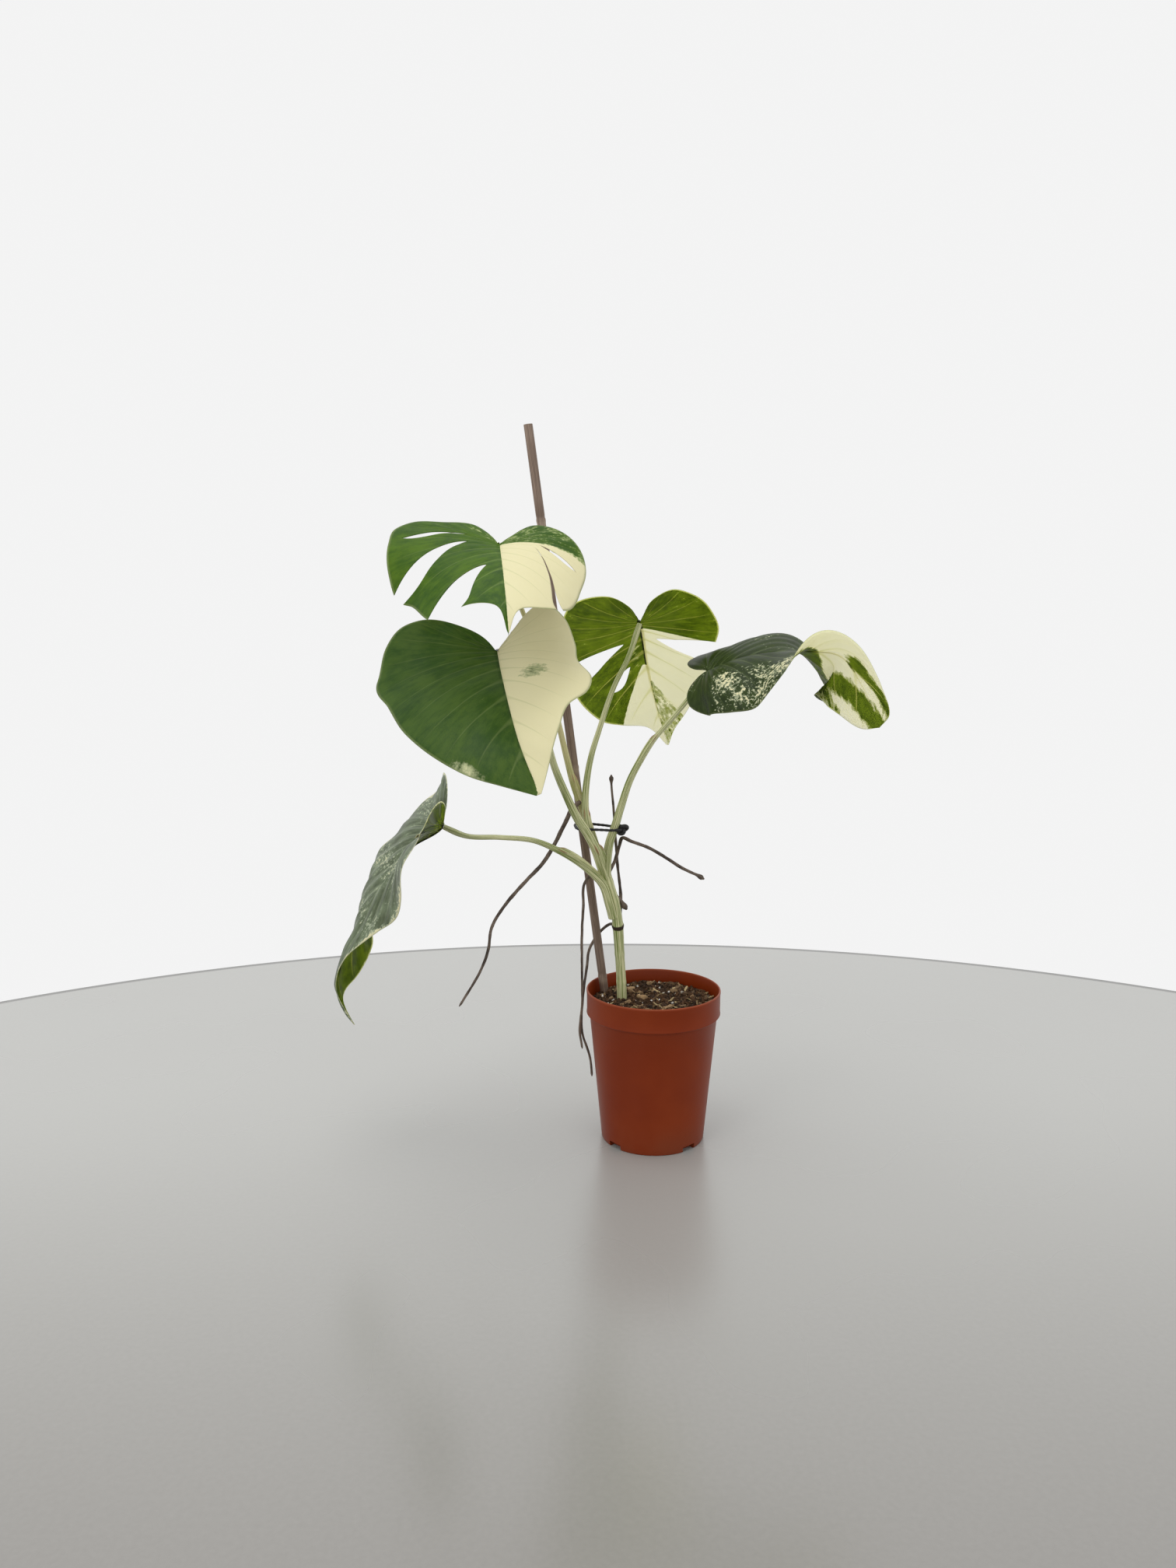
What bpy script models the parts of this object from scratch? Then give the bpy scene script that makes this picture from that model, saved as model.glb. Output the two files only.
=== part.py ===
"""A potted, variegated monstera, with its pot's foot on the ground at the origin.

The plastic nursery pot holds a potting mix, a cane and the plant: one stem, five leaf stalks
(petioles) that each carry a leaf, six aerial roots and a black tie. Lengths are in centimetres
until the last step, when each mesh is scaled by CM.
"""

import math

import bmesh
import bpy
import numpy as np
from mathutils import Matrix

for old in list(bpy.data.objects):
    bpy.data.objects.remove(old)

CM = 0.01
GAP = 0.03

# Pot
POT_HEIGHT = 13.7
POT_RIM_RADIUS = 6.0
POT_FOOT_RADIUS = 4.6
POT_WALL = 0.15
POT_FLOOR = 0.25
RIM_BAND_HEIGHT = 2.2
RIM_BAND_STEP = 0.3
POT_EDGE = 0.05
POT_STEPS = 64
NOTCH_COUNT = 4
NOTCH_TURN = math.radians(41)
NOTCH_WIDTH = 1.4
NOTCH_HEIGHT = 0.5
NOTCH_DEPTH = 0.6

# Potting mix
SOIL_BELOW_RIM = 1.1
SOIL_CROWN = 0.15
SOIL_TOP = POT_HEIGHT - SOIL_BELOW_RIM
BAND_FOOT = POT_HEIGHT - RIM_BAND_HEIGHT

# Cane: a straight stick, pushed into the mix, with its buried end beside the pot's wall
CANE_RADIUS = 0.39
CANE_TOP_HEIGHT = 50.1
CANE_DEPTH = 6.0
CANE_TURN = math.radians(140.4)
CANE_WALL_CLEARANCE = 0.1
CANE_LEAN = (-0.132, -0.039)

# Stem, in places measured from the middle of the mix's top
STEM_RADIUS = 0.42
STEM_DEPTH = 3.0
STEM_ROUTE = [(-2.8, 0.3, 0.0), (-3.0, 0.3, 3.9), (-3.2, 0.2, 6.8), (-3.5, 0.1, 8.9), (-4.0, 0.1, 10.5),
              (-4.4, 0.2, 12.1)]
STEM_SWELL = [1.05, 1.0, 1.15, 1.0, 1.1, 1.0]

# Each stalk: its route from the stem to the leaf, and its radius at the foot and at the leaf
STALKS = {
    5: ([(-3.6, 0.0, 7.6), (-3.95, -0.3, 8.9), (-4.5, -0.5, 10.6), (-5.8, -1.0, 12.1), (-8.3, -1.8, 13.9),
         (-10.4, -2.3, 14.9), (-13.4, -2.8, 15.3), (-16.4, -3.0, 15.5)], 0.42, 0.2),
    2: ([(-4.3, 0.0, 11.2), (-4.7, -0.5, 12.4), (-5.2, -0.9, 13.9), (-5.9, -1.2, 15.3), (-6.7, -1.5, 16.6),
         (-7.8, -2.0, 19.0), (-8.7, -2.8, 21.4), (-9.3, -3.8, 23.9), (-10.1, -5.2, 26.9),
         (-11.4, -7.0, 29.6)], 0.42, 0.24),
    3: ([(-4.4, 0.35, 11.6), (-4.8, 0.35, 13.0), (-5.4, 0.1, 14.5), (-5.9, -0.1, 15.9),
         (-6.1, 0.1, 17.9), (-5.95, 0.4, 19.9), (-5.55, 0.7, 22.0), (-4.9, 1.0, 24.1),
         (-3.5, 1.5, 28.1), (-2.35, 2.0, 30.4)],
        0.36, 0.2),
    1: ([(-4.4, 0.4, 11.4), (-4.95, 0.9, 12.8), (-5.6, 0.85, 15.0), (-6.5, 0.7, 17.6), (-7.1, 0.3, 19.4),
         (-7.7, -0.4, 21.9), (-8.3, -1.2, 24.6), (-9.0, -2.4, 27.6), (-9.8, -3.6, 30.6), (-10.9, -5.2, 33.7),
         (-12.1, -7.4, 37.0)], 0.36, 0.18),
    4: ([(-4.2, 0.1, 11.2), (-4.15, -0.25, 12.8), (-3.9, -0.35, 14.5), (-3.5, -0.4, 15.7), (-2.9, -0.3, 17.7),
         (-2.1, -0.1, 20.0), (-1.2, -0.1, 21.7), (0.0, -0.1, 23.6), (1.2, -0.1, 25.0), (2.7, -0.1, 26.8)],
        0.36, 0.2),
}

# Each leaf: a spine of places from behind the sinus to the tip, the second one being where the
# stalk joins, with the way the upper face looks, then (fold, curl a centimetre) in degrees of the
# left and right half; each half's outline across and along the spine, from the stalk to just short
# of the tip, where the spine ends; its slits as (place on the outline at the inner end, at the outer
# end, half-width, start, end, how wide the mouth is), where a mouth of 0 is shut; and its margin's
# wave as (height, period, shift).
LEAF_THICKNESS = 0.1
LEAF_COLUMNS = 20
LEAF_ROWS = 8
WAVE_REACH = 8
VEIN_START = 0.3
VEIN_CROWDING = 2.6
VEIN_BOW = (0.5, 0.4)
LEAVES = {
    1: dict(
        spine=[((-13.4, -4.0, 42.4), (0, -0.5, 1), (16, -3), (20, -5)),
               ((-12.7, -9.5, 39.4), (0, -0.5, 1), (14, -4), (16, -6)),
               ((-12.1, -14.2, 36.9), (0, -0.5, 1), (4, -6), (6, -8)),
               ((-11.6, -18.0, 34.2), (0, -0.7, 1), (0, -6), (0, -8)),
               ((-11.4, -19.2, 32.6), (0, -0.9, 1), (0, -4), (0, -4))],
        left=[(0, 0), (0.9, -2.0), (1.8, -3.0), (4.3, -3.3), (6.8, -3.7), (8.1, -3.1), (8.6, -1.4),
              (8.8, 1.8), (8.5, 4.0), (7.4, 5.4), (5.1, 8.7), (3.8, 8.6), (2.4, 8.6), (0.8, 9.2)],
        right=[(0, 0), (1.1, -1.0), (2.9, -2.2), (4.3, -1.8), (5.7, -0.6), (6.5, 0.9), (6.8, 2.5), (6.4, 4.6),
               (4.6, 8.4), (2.8, 9.3), (1.0, 9.8)],
        left_slits=[(0.22, 0.375, 0.014, 0.3, 0.87, 0), (0.36, 0.567, 0.042, 0.27, 1, 0.3),
                    (0.66, 0.765, 0.056, 0.18, 1, 0.8)],
        right_slits=[(0.43, 0.5, 0.014, 0.45, 0.87, 0), (0.44, 0.745, 0.016, 0.4, 1, 1)],
        wave=(0, 6, 0)),
    2: dict(
        spine=[((-13.8, -6.4, 36.0), (0.1, -0.9, 0.5), (6, -4), (40, -9)),
               ((-13.0, -9.0, 31.2), (0.1, -0.7, 0.75), (6, -4), (40, -9)),
               ((-11.9, -13.6, 27.6), (0.1, -0.75, 0.75), (6, -4), (36, -7)),
               ((-10.6, -17.6, 24.2), (0.1, -0.8, 0.7), (4, -3), (30, -6)),
               ((-9.2, -19.9, 21.3), (0.1, -0.8, 0.6), (0, -2), (10, -3))],
        left=[(0, 0), (0.7, -1.2), (2.8, -2.7), (5.7, -3.6), (7.6, -3.2), (8.8, -2.0), (9.7, 0.2),
              (9.9, 0.6), (9.1, 3.4), (7.9, 7.2), (6.4, 9.8), (4.3, 12.1), (2.3, 13.6)],
        right=[(0, 0), (0.6, -0.3), (1.6, -1.2), (2.8, -2.6), (4.4, -3.4), (5.8, -2.2), (6.4, 0.6),
               (6.2, 3.4), (6.8, 5.6), (6.0, 7.4), (4.4, 8.6), (3.2, 10.6), (1.7, 12.9)],
        left_slits=[],
        right_slits=[],
        wave=(0, 6, 0)),
    3: dict(
        spine=[((-2.6, 0.2, 36.4), (0, 0.6, 0.8), (-4, 3), (-4, 3)),
               ((-1.3, 3.0, 33.5), (0, 0.75, 0.65), (-4, 3), (-4, 3)),
               ((-0.5, 5.6, 29.8), (0, 0.8, 0.6), (-4, 3), (-4, 3)),
               ((0.6, 8.2, 25.6), (0, 0.85, 0.5), (-4, 3), (-4, 3)),
               ((1.8, 9.8, 21.8), (0, 0.9, 0.4), (0, 2), (0, 2))],
        left=[(0, 0), (0.4, -0.6), (1.7, -2.2), (3.7, -2.8), (5.2, -1.5), (6.4, 0.4), (6.9, 2.2), (6.5, 3.6),
              (5.9, 4.9), (5.3, 6.5), (4.4, 8.3), (2.6, 10.8), (0.9, 12.5)],
        right=[(0, 0), (0.4, -2.1), (1.6, -3.7), (3.4, -4.0), (5.6, -3.2), (6.9, -1.4), (7.3, 2.0),
               (7.4, 5.0), (7.2, 7.8), (6.4, 9.1), (5.5, 10.0), (3.6, 10.7), (1.4, 11.4)],
        left_slits=[(0.6, 0.555, 0.052, 0.2, 1, 1)],
        right_slits=[(0.58, 0.597, 0.045, 0.24, 1, 0.9), (0.7, 0.735, 0.02, 0.24, 0.62, 0)],
        wave=(0, 6, 0)),
    4: dict(
        spine=[((2.7, 0.4, 28.3), (-0.45, -0.5, 0.7), (26, -9), (6, -8)),
               ((4.5, -0.2, 29.4), (-0.3, -0.5, 0.8), (28, -9), (6, -9)),
               ((6.9, -1.6, 30.5), (-0.15, -0.6, 0.8), (28, -9), (-4, -6)),
               ((10.0, -3.2, 31.1), (-0.05, -0.65, 0.8), (24, -8), (-20, -3)),
               ((12.3, -4.6, 31.2), (0.15, -0.2, 0.95), (10, -8), (-46, 2)),
               ((14.6, -6.0, 30.8), (0.6, 0.65, 0.6), (0, -4), (-22, 1)),
               ((16.3, -6.8, 28.4), (0.75, 0.85, 0.35), (0, -4), (-6, -1)),
               ((17.6, -7.4, 25.1), (0.8, 0.85, 0.3), (0, -2), (0, -1))],
        left=[(0, 0), (1.6, -1.8), (3.8, -2.2), (6.0, -1.0), (6.8, 2.0), (6.7, 6.0), (5.4, 9.5),
              (2.3, 12.3), (1.6, 15.6), (1.2, 18.0)],
        right=[(0, 0), (1.2, -1.2), (3.2, -1.8), (5.0, -0.8), (5.8, 3.0), (5.8, 7.0), (4.8, 10.4),
               (4.0, 13.4), (3.2, 16.2), (1.6, 18.2)],
        left_slits=[],
        right_slits=[],
        wave=(0, 6, 0)),
    5: dict(
        spine=[((-17.4, -3.4, 18.5), (-0.95, -0.2, 0.5), (18, -3), (24, -1)),
               ((-18.3, -3.0, 16.3), (-0.96, -0.2, 0.4), (18, -3), (24, -1)),
               ((-21.0, -3.2, 14.5), (-0.97, -0.2, 0.4), (16, -3), (16, -2)),
               ((-22.8, -3.4, 12.2), (-0.98, -0.2, 0.25), (16, -3), (-4, -2)),
               ((-24.9, -3.6, 9.3), (-0.98, -0.2, 0.2), (8, -3), (-14, -2)),
               ((-26.7, -3.8, 5.6), (-0.96, -0.2, 0.1), (-24, -4), (4, -2)),
               ((-27.4, -4.0, 2.3), (-0.96, -0.2, -0.1), (-30, -4), (8, -2)),
               ((-25.9, -4.0, -1.2), (-0.8, -0.2, -0.5), (0, -2), (0, -2))],
        left=[(0, 0), (1.2, -2.2), (3.6, -3.2), (6.0, -2.4), (7.0, 0.5), (6.8, 5), (5.8, 9), (4.6, 13.5),
              (2.6, 17), (0.5, 18.4)],
        right=[(0, 0), (1.2, -2.2), (3.4, -3.2), (5.8, -2.4), (6.8, 0.6), (6.6, 4.6), (5.4, 7.8), (3.8, 11.2),
               (2.2, 14.8), (0.5, 17.6)],
        left_slits=[],
        right_slits=[],
        wave=(0.35, 5.0, 0.1)),
}

# Each aerial root: its route, and its radius at the start and at the end
ROOTS = {
    "aerial_root_long": (
        [(-6.55, 0.4, 17.9), (-7.1, 0.1, 17.5), (-7.8, -0.1, 16.2), (-8.8, -0.4, 14.3), (-9.6, -0.8, 12.9),
         (-11.7, -1.7, 10.8), (-13.3, -2.3, 8.9), (-14.2, -2.7, 7.3), (-14.5, -3.0, 5.5), (-15.2, -3.2, 3.5),
         (-16.1, -3.4, 2.0), (-17.0, -3.6, 0.6)], 0.2, 0.1),
    "aerial_root_right": (
        [(-4.1, 0.5, 11.4), (-3.5, 1.0, 12.4), (-3.1, 0.95, 13.8), (-2.8, 0.45, 14.7), (-2.0, 0.0, 14.4),
         (-0.6, -0.5, 14.0), (0.6, -1.0, 13.4), (2.3, -1.6, 12.4), (3.9, -2.0, 11.7), (4.2, -2.1, 11.5)],
        0.16, 0.13),
    "aerial_root_upright": (
        [(-3.1, 0.4, 6.9), (-2.9, 1.2, 8.4), (-3.2, 1.65, 12.2), (-3.4, 1.5, 14.4), (-3.6, 1.2, 17.3),
         (-3.8, 1.1, 19.6), (-3.8, 1.1, 20.2)], 0.15, 0.09),
    "aerial_root_stub": ([(-3.4, 0.3, 9.5), (-2.9, 0.5, 8.9), (-2.4, 0.3, 8.2)], 0.2, 0.16),
}

# Two more roots leave the stem and hang down outside the pot. Each goes on from its route as
# (angle round the pot in radians, height above the rim, clearance from the pot).
ROOT_OUTSIDE = 0.4
HANGING_ROOTS = {
    "aerial_root_hanging": (
        [(-4.5, 0.3, 11.6), (-5.2, 0.5, 11.5), (-6.0, 0.4, 10.9), (-6.3, 0.0, 8.5), (-6.4, -0.3, 6.1)],
        [(-0.08, 1.5, 0), (-0.1, -1.2, 0), (-0.1, -4.0, 0.7), (-0.1, -5.4, 0.6)], 0.13, 0.1),
    "aerial_root_over_rim": (
        [(-3.3, 0.3, 6.7), (-3.6, 1.4, 6.6), (-4.1, 2.6, 6.2), (-4.8, 3.4, 5.3), (-5.7, 3.1, 3.9)],
        [(0.36, 1.2, 0), (0.16, -1.2, 0), (0.1, -4.2, 0.5), (0.08, -6.8, 0), (0.08, -8.4, 0)], 0.14, 0.1),
}

# Tie: a loop of soft twine round the cane and the stalks, with its knot beside the right stalk
TIE_RADIUS = 0.13
TIE_KNOT_RADIUS = 0.38
TIE_HEIGHT = 15.6
TIE_FRONT = [(-6.9, 0.2), (-6.6, -0.5), (-5.5, -0.65), (-4.6, -0.85), (-3.9, -1.05), (-3.15, -0.95),
             (-2.85, -0.3), (-3.2, 0.35)]
TIE_BACK_TURNS = (45, 90, 135, 180)
TIE_KNOT_AT = (-2.84, -0.4)
TIE_POINTS = 48


# ---- Small tools ----

def through(knots, values, at):
    """Reads a smooth curve that passes through each value at its knot."""
    knots = np.asarray(knots, float)
    values = np.asarray(values, float)
    slopes = np.gradient(values, knots, axis=0)
    at = np.clip(np.atleast_1d(np.asarray(at, float)), knots[0], knots[-1])
    left = np.clip(np.searchsorted(knots, at, side="right") - 1, 0, len(knots) - 2)
    column = (len(at),) + (1,) * (values.ndim - 1)
    gap = (knots[left + 1] - knots[left]).reshape(column)
    x = (at - knots[left]).reshape(column) / gap
    near = (1 + 2 * x) * (1 - x) ** 2 * values[left] + x * (1 - x) ** 2 * gap * slopes[left]
    far = x * x * (3 - 2 * x) * values[left + 1] + x * x * (x - 1) * gap * slopes[left + 1]
    return near + far


def distances(points):
    steps = np.linalg.norm(np.diff(np.asarray(points, float), axis=0), axis=1)
    return np.concatenate([[0.0], np.cumsum(steps)])


def unit(vectors):
    return vectors / np.linalg.norm(vectors, axis=-1, keepdims=True)


def above_soil(points):
    return [(x, y, z + SOIL_TOP) for x, y, z in points]


def new_collection(name):
    collection = bpy.data.collections.new(name)
    bpy.context.scene.collection.children.link(collection)
    return collection


def material(name, colour, roughness, metallic=0.0):
    made = bpy.data.materials.new(name)
    made.use_nodes = True
    made.diffuse_color = (*colour, 1)
    shader = made.node_tree.nodes["Principled BSDF"]
    shader.inputs["Base Color"].default_value = (*colour, 1)
    shader.inputs["Roughness"].default_value = roughness
    shader.inputs["Metallic"].default_value = metallic
    return made


def put(name, mesh, collection, surface=None):
    """Adds a mesh drawn in centimetres to a collection, scaled to metres."""
    mesh.transform(Matrix.Scale(CM, 4))
    obj = bpy.data.objects.new(name, mesh)
    collection.objects.link(obj)
    if surface:
        mesh.materials.append(surface)
    else:
        obj.hide_render = True
        obj.display_type = "WIRE"
    return obj


def cut(obj, cutter):
    boolean = obj.modifiers.new("cut_" + cutter.name, "BOOLEAN")
    boolean.operation = "DIFFERENCE"
    boolean.solver = "EXACT"
    boolean.object = cutter


def curve_mesh(name, points, widths, closed=False):
    """A round bar through the points, with a radius at each of them, as a welded mesh."""
    curve = bpy.data.curves.new(name, "CURVE")
    curve.dimensions = "3D"
    curve.bevel_depth = 1.0
    curve.bevel_resolution = 2
    curve.use_fill_caps = True
    spline = curve.splines.new("POLY")
    spline.use_cyclic_u = closed
    spline.points.add(len(points) - 1)
    for point, place, width in zip(spline.points, points, widths):
        point.co = (*place, 1)
        point.radius = width
    holder = bpy.data.objects.new(name, curve)
    bpy.context.scene.collection.objects.link(holder)
    graph = bpy.context.evaluated_depsgraph_get()
    mesh = bpy.data.meshes.new_from_object(holder.evaluated_get(graph))
    bpy.data.objects.remove(holder)
    shape = bmesh.new()
    shape.from_mesh(mesh)
    bmesh.ops.remove_doubles(shape, verts=shape.verts, dist=0.0001)
    bmesh.ops.recalc_face_normals(shape, faces=shape.faces)
    shape.to_mesh(mesh)
    shape.free()
    return mesh


def tube_mesh(name, route, radii, spacing):
    """A round tube along a smooth curve through the route, with a radius at each of its points."""
    knots = distances(route)
    count = max(2, math.ceil(knots[-1] / spacing)) + 1
    places = np.linspace(0, knots[-1], count)
    return curve_mesh(name, through(knots, route, places), np.interp(places, knots, radii))


def tube(name, route, radii, surface, spacing=1.3, cutters=()):
    """A tube with its room: the same tube a gap wider, which is cut out of its later neighbours."""
    obj = put(name, tube_mesh(name, route, radii, spacing), PLANT, surface)
    wider = [radius + GAP for radius in radii]
    ROOMS[name] = put(name + "_room", tube_mesh(name + "_room", route, wider, spacing), CUTTERS)
    for cutter in cutters:
        cut(obj, ROOMS[cutter])
    return obj


def turned(name, profile, collection, surface=None):
    """A profile (radius, height) that runs down its outer side, turned round the Z axis."""
    mesh = bpy.data.meshes.new(name)
    corners = [(radius, 0, height) for radius, height in profile]
    edges = [(i, i + 1) for i in range(len(corners) - 1)]
    mesh.from_pydata(corners, edges, [])
    obj = put(name, mesh, collection, surface)
    screw = obj.modifiers.new("turn", "SCREW")
    screw.steps = POT_STEPS
    screw.render_steps = POT_STEPS
    screw.use_merge_vertices = True
    screw.merge_threshold = 0.00001
    screw.use_smooth_shade = False
    return obj


# ---- Pot and mix ----

def wall_radius(height):
    """Outer radius of the pot's tapering wall below the rim band."""
    top = POT_RIM_RADIUS - RIM_BAND_STEP
    return POT_FOOT_RADIUS + (top - POT_FOOT_RADIUS) * min(height, BAND_FOOT) / BAND_FOOT


def inner_radius(height):
    return wall_radius(height) - POT_WALL


def make_pot():
    profile = [
        (0, POT_FLOOR),
        (inner_radius(POT_FLOOR), POT_FLOOR),
        (inner_radius(BAND_FOOT), BAND_FOOT),
        (POT_RIM_RADIUS - POT_WALL, BAND_FOOT + RIM_BAND_STEP),
        (POT_RIM_RADIUS - POT_WALL, POT_HEIGHT - POT_EDGE),
        (POT_RIM_RADIUS - POT_WALL + POT_EDGE, POT_HEIGHT),
        (POT_RIM_RADIUS - POT_EDGE, POT_HEIGHT),
        (POT_RIM_RADIUS, POT_HEIGHT - POT_EDGE),
        (POT_RIM_RADIUS - POT_EDGE, BAND_FOOT),
        (wall_radius(BAND_FOOT), BAND_FOOT - POT_EDGE),
        (wall_radius(POT_EDGE), POT_EDGE),
        (wall_radius(0) - POT_EDGE, 0),
        (0, 0),
    ]
    pot = turned("pot", profile, PLANT, material("terracotta_plastic", (0.27, 0.045, 0.018), 0.38))
    for number in range(NOTCH_COUNT):
        angle = NOTCH_TURN + number * math.tau / NOTCH_COUNT
        mesh = bpy.data.meshes.new("notch")
        shape = bmesh.new()
        bmesh.ops.create_cube(shape, size=1)
        bmesh.ops.scale(shape, vec=(2 * NOTCH_DEPTH, NOTCH_WIDTH, 2 * NOTCH_HEIGHT), verts=shape.verts)
        bmesh.ops.translate(shape, vec=(POT_FOOT_RADIUS, 0, 0), verts=shape.verts)
        bmesh.ops.rotate(shape, matrix=Matrix.Rotation(angle, 3, "Z"), verts=shape.verts)
        shape.to_mesh(mesh)
        shape.free()
        cut(pot, put("notch_%d" % number, mesh, CUTTERS))


def soil_edge(height):
    """Inner radius of the pot at a height that may lie in the wider rim band."""
    spread = min(max(height - SOIL_CROWN - BAND_FOOT, 0) / RIM_BAND_STEP, 1)
    return inner_radius(BAND_FOOT) + (POT_RIM_RADIUS - POT_WALL - inner_radius(BAND_FOOT)) * spread


def make_soil():
    foot = POT_FLOOR + GAP
    shoulder = min(BAND_FOOT, SOIL_TOP - 2 * SOIL_CROWN)
    # The gap is doubled, because the wall slopes and is faceted.
    edge = 2 * GAP
    profile = [
        (0, SOIL_TOP + SOIL_CROWN),
        (0.35 * POT_RIM_RADIUS, SOIL_TOP + 0.8 * SOIL_CROWN),
        (0.7 * POT_RIM_RADIUS, SOIL_TOP),
        (soil_edge(SOIL_TOP) - edge, SOIL_TOP - SOIL_CROWN),
        (inner_radius(shoulder) - edge, shoulder),
        (inner_radius(foot) - edge, foot),
        (0, foot),
    ]
    soil = turned("potting_mix", profile, PLANT, material("peat_and_bark", (0.06, 0.03, 0.018), 0.95))
    cut(soil, ROOMS["cane"])
    cut(soil, ROOMS["main_stem"])


# ---- Cane, stem and stalks ----

def cane_at(height):
    """The middle of the cane at a height above the mix. It clears the wall at its foot and below the rim."""
    foot = SOIL_TOP - CANE_DEPTH
    outward_lean = CANE_LEAN[0] * math.cos(CANE_TURN) + CANE_LEAN[1] * math.sin(CANE_TURN)
    room = min(inner_radius(foot), inner_radius(BAND_FOOT) - outward_lean * (BAND_FOOT - foot))
    reach = room - CANE_WALL_CLEARANCE - CANE_RADIUS
    rise = height + CANE_DEPTH
    x = reach * math.cos(CANE_TURN) + CANE_LEAN[0] * rise
    y = reach * math.sin(CANE_TURN) + CANE_LEAN[1] * rise
    return (x, y, height)


def make_cane():
    route = above_soil([cane_at(-CANE_DEPTH), cane_at(0), cane_at(CANE_TOP_HEIGHT)])
    colour = material("brown_cane", (0.16, 0.1, 0.065), 0.7)
    tube("cane", route, [CANE_RADIUS] * 3, colour, spacing=8)


def make_stem():
    foot = STEM_ROUTE[0]
    route = above_soil([(foot[0] + 0.1, foot[1], -STEM_DEPTH), *STEM_ROUTE])
    radii = [STEM_RADIUS * swell for swell in [0.9, *STEM_SWELL]]
    tube("main_stem", route, radii, material("green_stem", (0.3, 0.36, 0.14), 0.45), cutters=["cane"])


def under_joint(leaf, radius):
    """Where a stalk's end, a disc of this radius, comes a gap short of the leaf's underside."""
    normal = leaf_spine(leaf)[2][1]
    joint = leaf_spine(leaf)[1][1]
    return tuple(joint - normal * (LEAF_THICKNESS / 2 + GAP + radius))


def make_stalks():
    colour = material("pale_green_stalk", (0.36, 0.45, 0.18), 0.4)
    made = ["cane", "main_stem"]
    for number, (route, foot_radius, leaf_radius) in STALKS.items():
        name = "petiole_%d" % number
        route = [*above_soil(route), under_joint(LEAVES[number], leaf_radius)]
        share = distances(route) / distances(route)[-1]
        radii = [foot_radius + (leaf_radius - foot_radius) * min(1, 1.6 * part) for part in share]
        tube(name, route, radii, colour, cutters=made)
        made.append(name)


# ---- Leaves ----

def leaf_spine(leaf):
    """The leaf's rows as arrays, with the knots measured from where the stalk joins."""
    places = np.array(above_soil([row[0] for row in leaf["spine"]]))
    knots = distances(places)
    upward = unit(np.array([row[1] for row in leaf["spine"]], float))
    bends = np.array([(*row[2], *row[3]) for row in leaf["spine"]], float)
    return knots - knots[1], places, upward, bends


def leaf_place(leaf, across, along):
    """Bends the flat leaf onto its spine: across is negative on the left half."""
    knots, places, upward, bends = leaf_spine(leaf)
    step = 0.05
    inside = np.clip(along, knots[0] + step, knots[-1] - step)
    centre = through(knots, places, inside)
    forward = unit(through(knots, places, inside + step) - through(knots, places, inside - step))
    normal = through(knots, upward, inside)
    normal = unit(normal - forward * (normal * forward).sum(axis=1, keepdims=True))
    sideways = np.cross(normal, forward)
    bend = np.radians(through(knots, bends, inside))
    fold = np.where(across < 0, bend[:, 0], bend[:, 2])
    curl = np.where(across < 0, bend[:, 1], bend[:, 3])
    curl = np.where(abs(curl) < 1e-5, 1e-5, curl)
    width = abs(across)
    out = (np.sin(fold + curl * width) - np.sin(fold)) / curl
    rise = (np.cos(fold) - np.cos(fold + curl * width)) / curl
    height, period, shift = leaf["wave"]
    ripple = np.sin(math.tau * (along / period + shift) + 0.6 * np.sign(across))
    rise = rise + height * (width / WAVE_REACH) ** 2 * ripple
    centre = centre + forward * (along - inside)[:, None]
    return centre + sideways * (np.sign(across) * out)[:, None] + normal * rise[:, None]


def vein_place(leaf, side, share, outward):
    """The flat place that is `outward` of the way along the side vein to `share` of the outline."""
    length = leaf_spine(leaf)[0][-1]
    outline = [*leaf[side], (0, length)]
    knots = distances(outline)
    end = through(knots / knots[-1], outline, share)
    start = length * np.clip((share - VEIN_START) / (1 - VEIN_START), 0, 1) ** VEIN_CROWDING
    middle = start + VEIN_BOW[1] * (end[:, 1] - start)
    bow = 2 * outward * (1 - outward)
    across = bow * VEIN_BOW[0] * end[:, 0] + outward**2 * end[:, 0]
    along = (1 - outward) ** 2 * start + bow * middle + outward**2 * end[:, 1]
    return across, along


def slit_edges(slit, outward):
    """The slit's two edges on the outline scale at each place along the vein."""
    inner, outer, half, first, last, mouth = slit
    x = np.clip((outward - first) / (last - first), 0, 1)
    swell = abs(np.sin(math.pi * x * (1 - mouth / 2))) ** 0.75
    middle = outer + (inner - outer) * (1 - x) ** 2.2
    return middle - half * swell, middle + half * swell


def add_lobe(shape, leaf, side, low, high, first, last):
    """A grid between two edges on the outline scale, whose columns are first to last of LEAF_COLUMNS."""
    sign = -1 if side == "left" else 1
    outward = np.linspace(0, 1, LEAF_ROWS + 1)
    columns = last - first
    grid = bmesh.ops.create_grid(shape, x_segments=columns, y_segments=LEAF_ROWS, size=0.5)["verts"]
    column = np.array([vert.co.x + 0.5 for vert in grid])
    row = np.array([vert.co.y + 0.5 for vert in grid])
    share = np.interp(row, outward, low) * (1 - column) + np.interp(row, outward, high) * column
    # Near the midrib each column goes to an even place, so that the two halves meet point to point.
    even = (first + column * columns) / LEAF_COLUMNS
    share = share + (even - low[0] * (1 - column) - high[0] * column) * (1 - row) ** 4
    across, along = vein_place(leaf, side, share, row)
    for vert, place in zip(grid, leaf_place(leaf, sign * abs(across), along)):
        vert.co = place
    if sign > 0:
        faces = {face for vert in grid for face in vert.link_faces}
        bmesh.ops.reverse_faces(shape, faces=list(faces))


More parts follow.
